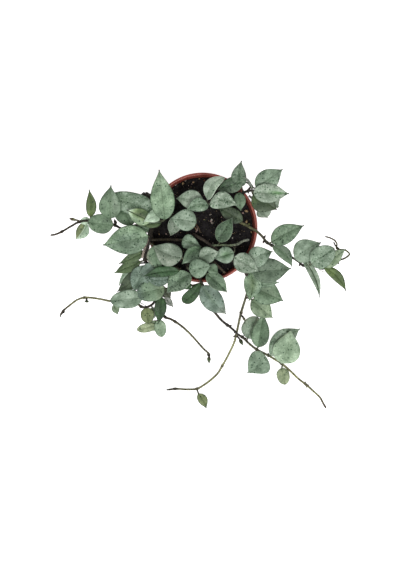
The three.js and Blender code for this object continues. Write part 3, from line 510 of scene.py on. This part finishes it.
class Surface:
    """Points, faces and named values of one mesh, gathered from many shapes"""

    def __init__(self):
        self.points, self.faces, self.values = [], [], {}

    def add(self, points, faces, **values):
        first = len(self.points)
        self.points.extend(points)
        self.faces.extend(tuple(first + i for i in face) for face in faces)
        for name, value in values.items():
            each = value if isinstance(value, list) else [value] * len(points)
            self.values.setdefault(name, []).extend(each)

    def object(self, name):
        mesh = bpy.data.meshes.new(name)
        mesh.from_pydata([Vector(p) * MM for p in self.points], [], self.faces)
        made = bpy.data.objects.new(name, mesh)
        bpy.context.scene.collection.objects.link(made)
        return made

    def piece(self, name, material, node, slot):
        """The mesh as an object that rides on the part and stands for a CAD node"""
        made = self.object(name)
        for key, values in self.values.items():
            if isinstance(values[0], tuple):
                data = made.data.attributes.new(key, "FLOAT_COLOR", "POINT").data
                data.foreach_set("color", [c for colour in values for c in (*colour, 1.0)])
            else:
                made.data.attributes.new(key, "FLOAT", "POINT").data.foreach_set("value", values)
        made.data.shade_smooth()
        made.data.materials.append(material)
        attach(made, "root")
        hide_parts(node)
        return made


class Finish:
    """Short calls that build one material's nodes"""

    def __init__(self, name):
        self.material = bpy.data.materials.new(name)
        self.material.use_nodes = True
        self.tree = self.material.node_tree
        self.shader = self.tree.nodes["Principled BSDF"]
        self.place = self.node("ShaderNodeTexCoord").outputs["Object"]

    def node(self, kind, inputs=None, **settings):
        made = self.tree.nodes.new(kind)
        for key, value in settings.items():
            setattr(made, key, value)
        for key, value in (inputs or {}).items():
            self.put(value, made.inputs[key])
        return made

    def put(self, value, socket):
        if isinstance(value, bpy.types.NodeSocket):
            self.tree.links.new(value, socket)
        elif isinstance(value, tuple):
            socket.default_value = (*value, 1.0)
        else:
            socket.default_value = value

    def value(self, name, output="Fac"):
        return self.node("ShaderNodeAttribute", attribute_name=name).outputs[output]

    def noise(self, size, detail, roughness=0.55, distortion=0):
        """Noise whose features are about that many millimetres across"""
        inputs = {"Vector": self.place, "Scale": 1 / (size * MM), "Detail": detail,
                  "Roughness": roughness, "Distortion": distortion}
        return self.node("ShaderNodeTexNoise", inputs).outputs["Fac"]

    def cells(self, size):
        """Distance from the middles of cells of about that many millimetres"""
        inputs = {"Vector": self.place, "Scale": 1 / (size * MM)}
        return self.node("ShaderNodeTexVoronoi", inputs).outputs["Distance"]

    def rise(self, value, low, high, start=0, end=1):
        """Goes smoothly from start at low to end at high"""
        inputs = {"Value": value, "From Min": low, "From Max": high, "To Min": start, "To Max": end}
        return self.node("ShaderNodeMapRange", inputs, interpolation_type="SMOOTHSTEP").outputs["Result"]

    def math(self, operation, a, b):
        return self.node("ShaderNodeMath", {0: a, 1: b}, operation=operation).outputs[0]

    def times(self, a, b):
        return self.math("MULTIPLY", a, b)

    def mix(self, share, a, b, blend="MIX"):
        """Mix of two colours, whose sockets follow those for other kinds of value"""
        made = self.node("ShaderNodeMix", data_type="RGBA", blend_type=blend)
        for socket, value in ((0, share), (6, a), (7, b)):
            self.put(value, made.inputs[socket])
        return made.outputs[2]

    def tint(self, share, colour, factor):
        return self.mix(share, colour, factor, "MULTIPLY")

    def toned(self, colour, where, name, dark, light):
        """Goes to dark where a named value is below 0, and to light where it is above it"""
        value = self.value(name)
        colour = self.mix(self.times(where, self.rise(value, 0, -1)), colour, dark)
        return self.mix(self.times(where, self.rise(value, 0, 1)), colour, light)

    def bump(self, height, depth):
        """Bump of that many millimetres"""
        inputs = {"Height": height, "Distance": depth * MM, "Strength": 1.0}
        return self.node("ShaderNodeBump", inputs).outputs["Normal"]

    def wear(self, *values):
        """The material with its colour, roughness, bump and gloss"""
        for name, value in zip(("Base Color", "Roughness", "Normal", "Specular IOR Level"), values):
            self.put(value, self.shader.inputs[name])
        return self.material


def leaf_material():
    """Waxy leaf: silver and green flecks, dark specks, a midrib partly darkened with painted shade, and a
    thin rim
    """
    made = Finish("hoya_leaf")
    tone = made.value("tone", "Color")
    mottle = made.value("mottle")
    broad = made.rise(made.noise(10, 2), 0.34, 0.66)
    colour = made.tint(1, tone, made.mix(broad, (0.62, 0.67, 0.62), (1.2, 1.19, 1.2)))
    grain = made.rise(made.noise(1.7, 4, 0.7), 0.35, 0.65)
    colour = made.tint(1, colour, made.mix(grain, (0.8, 0.82, 0.8), (1.13, 1.12, 1.13)))
    silver = made.times(made.rise(made.noise(2.6, 3, 0.65, 0.8), 0.54, 0.64), mottle)
    colour = made.tint(silver, colour, (1.55, 1.46, 1.55))
    fleck = made.times(made.rise(made.noise(3.2, 4, 0.75, 1.4), 0.53, 0.6), mottle)
    colour = made.tint(fleck, colour, (0.24, 0.38, 0.25))
    speck = made.times(made.rise(made.cells(3.6), 0.28, 0.18), made.rise(made.noise(7, 1), 0.42, 0.5))
    colour = made.tint(speck, colour, (0.16, 0.27, 0.19))
    # Darker along the midrib where rib is below 0: partly the midrib's own colour, partly painted shade
    # along the fold. Lighter where rib is above 0: a pale midrib.
    groove = made.rise(made.value("beside"), 0.75, 0.15)
    colour = made.toned(colour, groove, "rib", (0.035, 0.06, 0.02), (0.5, 0.58, 0.44))
    edge = made.rise(made.value("inset"), 0.9, 0.25)
    colour = made.toned(colour, edge, "rim", made.tint(1, colour, (0.25, 0.3, 0.27)), (0.46, 0.54, 0.42))
    point = made.rise(made.value("along"), 0.95, 1, 0, 0.75)
    colour = made.mix(point, colour, (0.04, 0.045, 0.035))
    under = made.mix(0.35, tone, (0.3, 0.38, 0.25))
    colour = made.mix(made.value("upper"), under, colour)
    roughness = made.rise(made.noise(1.2, 3), 0.3, 0.7, 0.4, 0.62)
    height = made.math("SUBTRACT", made.noise(0.9, 4, 0.6), groove)
    return made.wear(colour, roughness, made.bump(height, 0.3), 0.4)


def stem_material():
    """Woody to green stem with long streaks and small warts"""
    made = Finish("hoya_stem")
    tone = made.value("tone", "Color")
    streak = made.rise(made.noise(1.5, 4, 0.75), 0.36, 0.64)
    colour = made.tint(1, tone, made.mix(streak, (0.3, 0.28, 0.26), (1.3, 1.25, 1.2)))
    patch = made.rise(made.noise(9, 2), 0.6, 0.4)
    colour = made.tint(patch, colour, (0.62, 0.6, 0.62))
    wart = made.rise(made.cells(0.9), 0.25, 0.1)
    colour = made.mix(made.times(wart, 0.4), colour, (0.16, 0.14, 0.09))
    roughness = made.rise(streak, 0, 1, 0.75, 0.5)
    return made.wear(colour, roughness, made.bump(made.math("ADD", streak, wart), 0.15), 0.3)


def pot_material():
    """Brick-red moulded plastic, a little dusty and scuffed"""
    made = Finish("pot_plastic")
    cloud = made.rise(made.noise(14, 3), 0.3, 0.7)
    colour = made.mix(cloud, (0.21, 0.04, 0.028), (0.31, 0.07, 0.048))
    grain = made.rise(made.noise(0.8, 3, 0.7), 0.45, 0.7)
    colour = made.mix(made.times(grain, 0.25), colour, (0.36, 0.12, 0.09))
    dust = made.rise(made.noise(3.5, 5, 0.75, 0.5), 0.56, 0.78, 0, 0.4)
    colour = made.mix(dust, colour, (0.34, 0.22, 0.18))
    roughness = made.rise(made.noise(2, 4), 0.3, 0.7, 0.24, 0.42)
    return made.wear(colour, roughness, made.bump(made.noise(0.7, 3), 0.05), 0.5)


def soil_material():
    """Damp dark mix of peat fibre and grit"""
    made = Finish("potting_mix")
    clod = made.rise(made.noise(4, 5, 0.7), 0.35, 0.65)
    colour = made.mix(clod, (0.005, 0.004, 0.0045), (0.017, 0.014, 0.0155))
    grit = made.rise(made.noise(0.6, 3, 0.8), 0.6, 0.72)
    colour = made.mix(made.times(grit, 0.5), colour, (0.075, 0.062, 0.055))
    roughness = made.rise(clod, 0, 1, 0.95, 0.7)
    return made.wear(colour, roughness, made.bump(made.noise(0.8, 5, 0.8), 0.9), 0.25)


def crumb_material():
    """Bark, stone and peat crumbs, each in its own tone"""
    made = Finish("potting_crumbs")
    tone = made.value("tone", "Color")
    patch = made.rise(made.noise(0.9, 4, 0.7), 0.35, 0.65)
    colour = made.mix(patch, made.mix(0.5, tone, (0.02, 0.014, 0.012)), tone)
    return made.wear(colour, made.rise(patch, 0, 1, 0.95, 0.7), made.bump(patch, 0.3), 0.25)


def half_width(place, shape):
    """Half the leaf's width at a place from 0 at its base to 1 at its tip"""
    widest = shape["widest"]
    tip_outline = BLUNT_OUTLINE if shape["blunt"] else TIP_OUTLINE
    power, bend = BASE_OUTLINE if place < widest else tip_outline
    share = 1 - max((place - widest) / (1 - widest), 1 - place / widest) ** power
    return max(max(0.0, share) ** bend * shape["width"], 2 * LEAF_EDGE) / 2


def leaf_tone(shape, along, across):
    """Colour of a leaf at a place: its own tone, those of its parts and its spots"""
    colour = TONE[shape["tone"]]
    parts = (("left", -across / HALF_BLEND), ("right", across / HALF_BLEND),
             ("root", (ROOT_END - along) / PART_BLEND), ("end", (along - END_START) / PART_BLEND))
    for part, share in parts:
        if shape[part]:
            colour = mixed(colour, TONE[shape[part]], smooth(share))
    for tone, at, side, length, width, strength in shape["spots"]:
        far = ((along - at) / length) ** 2 + ((across - side) / width) ** 2
        colour = mixed(colour, TONE[tone], strength * exp(-far))
    return colour


def leaf_faces():
    """Faces of a leaf, whose lower side's points follow those of its upper side"""
    columns = LEAF_COLUMNS + 1
    last = LEAF_ROWS * columns
    lower = last + columns
    faces = []
    for row in range(LEAF_ROWS):
        for column in range(LEAF_COLUMNS):
            a = row * columns + column
            b = a + columns
            faces.append((a, a + 1, b + 1, b))
            faces.append((lower + a, lower + b, lower + b + 1, lower + a + 1))
        a = row * columns
        b = a + LEAF_COLUMNS
        faces.append((a, a + columns, lower + a + columns, lower + a))
        faces.append((b, lower + b, lower + b + columns, b + columns))
    for a in range(LEAF_COLUMNS):
        b = last + a
        faces.append((a, lower + a, lower + a + 1, a + 1))
        faces.append((b, b + 1, lower + b + 1, lower + b))
    return faces


def bowed(place):
    """1 halfway along and 0 at both ends"""
    return 4 * place * (1 - place)


def leaf_lift(shape, place, across, half, length, ripple):
    """How far a leaf's middle surface stands off the line from its base to its tip"""
    reach = abs(across)
    lift = half * sin(radians(shape["fold"])) * reach + LEAF_ARCH * bowed(place) * length
    lift += PUFF * half * sin(pi * reach ** PUFF_OUTWARD)
    lift += ripple * reach ** 3 * min(1, half / WAVY_FROM)
    lift -= TIP_DROOP * length * max(0, place - DROOP_START) ** 2
    return lift - CREASE_DROP * half * max(0, shape["crease"] - across)


def add_leaf(surface, shape, draw):
    """Arched, folded blade with a thin rim, wavy at its edges"""
    base = Vector(shape["base"])
    along = Vector(shape["tip"]) - base
    length = along.length
    along.normalize()
    right = along.cross(Vector((0, 0, 1))).normalized()
    right = Matrix.Rotation(radians(shape["roll"]), 3, along) @ right
    out = right.cross(along)
    spread = cos(radians(shape["fold"]))
    phase = draw.uniform(0, tau)
    waves = draw.uniform(*EDGE_WAVES)
    wave = draw.uniform(*EDGE_WAVE_HEIGHT) * length
    points = []
    rows = []
    for side in (1, -1):
        for place in shares(LEAF_ROWS):
            half = half_width(place, shape)
            middle = base + along * place * length + right * shape["bow"] * bowed(place) * length
            for column in shares(LEAF_COLUMNS):
                across = 2 * column - 1
                reach = abs(across)
                turn = tau * waves * place + phase + (across > 0) * SIDES_OUT_OF_STEP
                lift = leaf_lift(shape, place, across, half, length, wave * sin(turn))
                thick = LEAF_EDGE + (LEAF_THICKNESS - LEAF_EDGE) * (1 - reach ** 2)
                points.append(middle + right * across * half * spread + out * (lift + side * thick / 2))
                inset = min((1 - reach) * half, (1 - place) * length * TIP_INSET)
                rows.append((leaf_tone(shape, place, across), reach * half, inset, place, (side + 1) / 2))
    values = dict(zip(("tone", "beside", "inset", "along", "upper"), map(list, zip(*rows))))
    surface.add(points, LEAF_FACES, mottle=shape["mottle"], rib=shape["rib"], rim=shape["rim"], **values)


def spline(route, step):
    """Points about a step apart on a centripetal curve through a route, with their route share"""
    knots = [Vector(p) for p in route]
    ends = [knots[0] * 2 - knots[1], *knots, knots[-1] * 2 - knots[-2]]
    points = []
    for i in range(len(knots) - 1):
        a, b, c, d = ends[i:i + 4]
        before, between, after = (max(1e-4, (q - p).length) ** 0.5 for p, q in ((a, b), (b, c), (c, d)))
        leave = ((b - a) / before - (c - a) / (before + between) + (c - b) / between) * between
        reach = ((c - b) / between - (d - b) / (between + after) + (d - c) / after) * between
        count = max(2, round((c - b).length / step))
        for k in range(count):
            t = k / count
            start, end = b * (2 * t ** 3 - 3 * t ** 2 + 1), c * (3 * t ** 2 - 2 * t ** 3)
            point = start + leave * (t ** 3 - 2 * t ** 2 + t) + end + reach * (t ** 3 - t ** 2)
            points.append((point, i + t))
    points.append((knots[-1], len(knots) - 1))
    return points


def add_tube(surface, points, radii, tones, sides):
    """Closed tube through points, with a radius and a tone at each"""
    rings = []
    side = (points[1] - points[0]).orthogonal().normalized()
    for i, point in enumerate(points):
        ahead = (points[min(i + 1, len(points) - 1)] - points[max(i - 1, 0)]).normalized()
        side = (side - ahead * side.dot(ahead)).normalized()
        other = ahead.cross(side)
        for k in range(sides):
            angle = tau * k / sides
            rings.append(point + (side * cos(angle) + other * sin(angle)) * radii[i])
    faces = []
    for i in range(len(points) - 1):
        for k in range(sides):
            a = i * sides + k
            b = i * sides + (k + 1) % sides
            faces.append((a, b, b + sides, a + sides))
    faces.append(tuple(range(sides))[::-1])
    faces.append(tuple((len(points) - 1) * sides + k for k in range(sides)))
    surface.add(rings, faces, tone=[tone for tone in tones for _ in range(sides)])


def add_stem(surface, shape, draw):
    """Tapered, slightly uneven stem that swells and darkens at its nodes"""
    first, last = shape["radii"]
    names = shape["tones"]
    offset = Vector((draw.uniform(0, 99), draw.uniform(0, 99), 0))
    points, radii, tones = [], [], []
    for point, share in spline(shape["route"], STEM_STEP):
        done = share / (len(shape["route"]) - 1)
        knot = 0.0
        for node in shape["nodes"]:
            far = (point - Vector(shape["route"][node])).length
            knot = max(knot, exp(-(far / NODE_REACH) ** 2))
        rough = UNEVEN * noise.noise(point * UNEVEN_OFTEN + offset)
        radius = (first + (last - first) * done) * (1 + rough + NODE_SWELL * knot)
        points.append(point)
        radii.append(radius * END_TAPER if done == 1 else radius)
        way = done * (len(names) - 1)
        before = min(int(way), len(names) - 2)
        tone = mixed(TONE[names[before]], TONE[names[before + 1]], way - before)
        tones.append(mixed(tone, TONE["bark"], NODE_DARK * knot))
    add_tube(surface, points, radii, tones, STEM_SIDES)
    return points


def add_stalk(surface, shape, stems):
    """Leaf stalk from the nearest place on the stems to just inside the leaf's base"""
    base = Vector(shape["base"])
    along = (Vector(shape["tip"]) - base).normalized()
    start = min((p for points in stems for p in points), key=lambda p: (p - base).length)
    bend = base - along * STALK_BEND * (start - base).length
    end = base + along * STALK_INTO_LEAF
    way = shares(STALK_STEPS)
    points = [start * (1 - t) ** 2 + bend * 2 * t * (1 - t) + end * t ** 2 for t in way]
    radii = [STALK_RADIUS + STALK_FLARE * abs(2 * t - 1) ** 3 for t in way]
    green = mixed(TONE[shape["tone"]], TONE["reed"], STALK_OLIVE)
    add_tube(surface, points, radii, [mixed(TONE["bark"], green, t) for t in way], STALK_SIDES)


def add_bud(surface, place, ahead, size, tone):
    """Small pointed bud or bract, thickest a third of the way along"""
    ahead = Vector(ahead).normalized() * size
    way = shares(BUD_STEPS)
    points = [Vector(place) + ahead * t + Vector((0, 0, BUD_CURVE * size * t ** 2)) for t in way]
    radii = [BUD_TIP + BUD_WIDTH * size * sin(pi * t ** 0.7) for t in way]
    tones = [mixed(TONE["bark"], TONE[tone], 0.3 + 0.7 * sin(pi * t)) for t in way]
    add_tube(surface, points, radii, tones, TWIG_SIDES)


def add_twig(surface, radius, route, tone):
    """Thin root or old twig of uneven thickness"""
    points = [point for point, _ in spline(route, STEM_STEP)]
    radii = [radius * (1 + 0.5 * noise.noise(point * 0.5)) for point in points]
    add_tube(surface, points, radii, [TONE[tone]] * len(points), TWIG_SIDES)


def build_vine(parts, leaf_finish, stem_finish):
    name = parts["name"]
    draw = random.Random(f"{SEED} {name}")
    stalks, leaves = Surface(), Surface()
    lines = [add_stem(stalks, shape, draw) for shape in parts["stems"]]
    for shape in parts["leaves"]:
        add_stalk(stalks, shape, lines)
        add_leaf(leaves, shape, draw)
    for values in parts["buds"]:
        add_bud(stalks, *values)
    for values in parts["twigs"]:
        add_twig(stalks, *values)
    silver = name in SILVER_VINES or name.startswith("stem_")
    slot = "foliage_silver" if silver else "foliage"
    leaves.piece(f"{name}_leaves", leaf_finish, name, slot)
    stalks.piece(f"{name}_stalks", stem_finish, name, slot)


def inner_radius(height):
    """Inner radius of the pot's wall at a height"""
    low = BASE_RADIUS - WALL
    return low + (RIM_INNER_RADIUS - low) * (height - FLOOR) / (POT_HEIGHT - FLOOR)


def turned(profile, segments):
    """Points and faces of a profile turned round Z. The profile starts and ends on the axis."""
    points = [(0, 0, profile[0][1])]
    ring = profile[1:-1]
    for radius, height in ring:
        for k in range(segments):
            angle = tau * k / segments
            points.append((radius * cos(angle), radius * sin(angle), height))
    points.append((0, 0, profile[-1][1]))
    faces = []
    for k in range(segments):
        after = (k + 1) % segments
        faces.append((0, 1 + after, 1 + k))
        for i in range(len(ring) - 1):
            a = 1 + i * segments
            faces.append((a + k, a + after, a + segments + after, a + segments + k))
        a = 1 + (len(ring) - 1) * segments
        faces.append((a + k, a + after, len(points) - 1))
    return points, faces


def arc(radius, height, size, start, end):
    """Profile points round a small corner, from one angle to another in degrees"""
    angles = [radians(start + (end - start) * t) for t in shares(ARC_STEPS)]
    return [(radius + size * cos(a), height + size * sin(a)) for a in angles]


def cut_drains(pot):
    """Cuts the drain holes in the pot's floor"""
    drills = Surface()
    for i in range(DRAIN_HOLES):
        angle = tau * i / DRAIN_HOLES
        profile = [(0, -1), (DRAIN_RADIUS, -1), (DRAIN_RADIUS, FLOOR + 1), (0, FLOOR + 1)]
        points, faces = turned(profile, DRAIN_SEGMENTS)
        move = Vector((cos(angle), sin(angle), 0)) * DRAIN_CIRCLE
        drills.add([Vector(p) + move for p in points], faces)
    tool = drills.object("drills")
    cut = pot.modifiers.new("holes", "BOOLEAN")
    cut.operation = "DIFFERENCE"
    cut.object = tool
    cut.solver = "EXACT"
    bpy.context.view_layer.update()
    seen = pot.evaluated_get(bpy.context.evaluated_depsgraph_get())
    pot.data = bpy.data.meshes.new_from_object(seen)
    pot.modifiers.clear()
    bpy.data.objects.remove(tool)


def build_pot(finish):
    """Thin pot with a stepped collar and a rounded lip, and drain holes cut in its floor"""
    collar = POT_HEIGHT - COLLAR_HEIGHT
    under = inner_radius(collar) + WALL
    step = under + COLLAR_STEP
    lip = POT_HEIGHT - LIP_HEIGHT
    profile = [(0, 0), (BASE_RADIUS - 3.5, 0), (BASE_RADIUS - 3, 0)]
    profile += arc(BASE_RADIUS - BASE_ROUND, BASE_ROUND, BASE_ROUND, -90, 0)
    profile += [(under - 0.4, collar - 1), (under, collar), (under + 0.3, collar + 0.3)]
    profile += [(step - 0.2, collar + 1), (step, collar + 1.4)]
    profile += [(RIM_RADIUS - 0.7, lip - 0.3), (RIM_RADIUS - 0.3, lip), (RIM_RADIUS, lip + 0.4)]
    profile += arc(RIM_RADIUS - LIP_ROUND, POT_HEIGHT - LIP_ROUND, LIP_ROUND, 0, 90)
    profile += arc(RIM_INNER_RADIUS + INNER_ROUND, POT_HEIGHT - INNER_ROUND, INNER_ROUND, 90, 180)
    profile += [(inner_radius(height), height) for height in (POT_HEIGHT - 4, FLOOR + 1)]
    profile += [(inner_radius(FLOOR) - 1, FLOOR), (0, FLOOR)]
    body = Surface()
    body.add(*turned(profile, POT_SEGMENTS))
    pot = body.piece("pot_shell", finish, "pot", "pot")
    cut_drains(pot)
    pot.data.set_sharp_from_angle(angle=radians(SHARP_DEGREES))


def soil_height(x, y):
    """Height of the potting mix, which is lumpy"""
    place = Vector((x, y, 0))
    return SOIL_TOP + sum(height * noise.noise(place * often) for height, often in LUMPS)


def build_soil(finish):
    edge = inner_radius(SOIL_TOP) - SOIL_GAP
    low = FLOOR + SOIL_GAP
    profile = [(0, low), (inner_radius(low) - SOIL_GAP, low)]
    profile += [(edge * (1 - i / SOIL_RINGS), SOIL_TOP) for i in range(SOIL_RINGS)]
    profile.append((0, SOIL_TOP))
    points, faces = turned(profile, SOIL_SEGMENTS)
    soil = Surface()
    soil.add([(x, y, z if z < SOIL_TOP else soil_height(x, y)) for x, y, z in points], faces)
    soil.piece("potting_mix", finish, "soil", "soil")


def ball():
    """Points and faces of a twenty-sided ball"""
    gold = (1 + 5 ** 0.5) / 2
    points = []
    for a in (-1, 1):
        for b in (-gold, gold):
            points += [(0, a, b), (a, b, 0), (b, 0, a)]
    points = [Vector(p).normalized() for p in points]
    near = 2.1 / (1 + gold * gold) ** 0.5
    faces = []
    for i, j, k in combinations(range(len(points)), 3):
        if all((points[p] - points[q]).length < near for p, q in combinations((i, j, k), 2)):
            outward = (points[j] - points[i]).cross(points[k] - points[i]).dot(points[i])
            faces.append((i, j, k) if outward > 0 else (i, k, j))
    return points, faces


def add_crumb(surface, place, size, tone, draw):
    """Irregular crumb, size being its length, width and height"""
    points, faces = BALL
    turn = Matrix.Rotation(draw.uniform(0, tau), 3, "Z")
    turn = turn @ Matrix.Rotation(draw.uniform(-CRUMB_TILT, CRUMB_TILT), 3, "X")
    made = []
    for point in points:
        scale = draw.uniform(*CRUMB_DENTS) / 2
        made.append(place + turn @ Vector(p * s * scale for p, s in zip(point, size)))
    surface.add(made, faces, tone=tone)


def build_crumbs(finish):
    """Scattered crumbs, the chips that show, and curls of bark"""
    draw = random.Random(SEED)
    crumbs = Surface()
    edge = inner_radius(SOIL_TOP) - SOIL_GAP - CRUMB_EDGE
    for _ in range(CRUMBS):
        radius = edge * sqrt(draw.random())
        angle = draw.uniform(0, tau)
        x, y = radius * cos(angle), radius * sin(angle)
        big = draw.random() ** 3
        size = [draw.uniform(*CRUMB_SIZE) * (0.8 + 2.2 * big) for _ in range(3)]
        tone = TONE[draw.choice(CRUMB_TONES if big < CRUMB_IS_BIG else BIG_CRUMB_TONES)]
        place = Vector((x, y, soil_height(x, y) + CRUMB_RISE * size[2]))
        add_crumb(crumbs, place, size, tone, draw)
    for x, y, length, width, tone in CHIPS:
        place = Vector((x, y, soil_height(x, y) + CHIP_RISE))
        add_crumb(crumbs, place, (length, width, CHIP_FLATNESS * width), TONE[tone], draw)
    for route, radius, first, last in CURLS:
        curl = [point for point, _ in spline(route, CURL_STEP)]
        radii = [radius * (0.6 + 0.6 * abs(noise.noise(point * 0.9))) for point in curl]
        tones = [mixed(TONE[first], TONE[last], i / len(curl)) for i in range(len(curl))]
        add_tube(crumbs, curl, radii, tones, TWIG_SIDES)
    crumbs.piece("potting_crumbs", finish, "soil", "soil")


def build_floor():
    bpy.ops.mesh.primitive_plane_add(size=FLOOR_SIZE)
    floor = bpy.context.object
    floor.name = "floor"
    pale = bpy.data.materials.new("floor_pale")
    pale.use_nodes = True
    inputs = pale.node_tree.nodes["Principled BSDF"].inputs
    inputs["Base Color"].default_value = (0.9, 0.9, 0.9, 1)
    inputs["Roughness"].default_value = 0.9
    inputs["Emission Color"].default_value = (1, 1, 1, 1)
    inputs["Emission Strength"].default_value = FLOOR_GLOW
    floor.data.materials.append(pale)


def build_light(scene):
    """White surroundings and soft lamps"""
    world = bpy.data.worlds.new("studio")
    world.use_nodes = True
    inputs = world.node_tree.nodes["Background"].inputs
    inputs["Color"].default_value = (1, 1, 1, 1)
    inputs["Strength"].default_value = WORLD_STRENGTH
    scene.world = world
    for name, place, size, power in LAMPS:
        light = bpy.data.lights.new(name, "AREA")
        light.shape = "SQUARE"
        light.size = size
        light.energy = power
        lamp = bpy.data.objects.new(name, light)
        lamp.location = place
        lamp.rotation_euler = (Vector(LAMP_TARGET) - Vector(place)).to_track_quat("-Z", "Y").to_euler()
        scene.collection.objects.link(lamp)


def build_camera(scene):
    """Camera straight over the plant"""
    view = bpy.data.cameras.new("camera")
    view.sensor_width = SENSOR
    view.lens = SENSOR * CAMERA_DISTANCE / PICTURE_HEIGHT
    camera = bpy.data.objects.new("camera", view)
    camera.location = (*PICTURE_CENTRE, POT_HEIGHT * MM + CAMERA_DISTANCE)
    scene.collection.objects.link(camera)
    scene.camera = camera
    scene.view_settings.view_transform = "Standard"


BALL = ball()
LEAF_FACES = leaf_faces()
build_floor()
build_light(bpy.context.scene)
build_camera(bpy.context.scene)
leaf_finish = leaf_material()
stem_finish = stem_material()
for parts in VINES:
    build_vine(parts, leaf_finish, stem_finish)
build_pot(pot_material())
build_soil(soil_material())
build_crumbs(crumb_material())
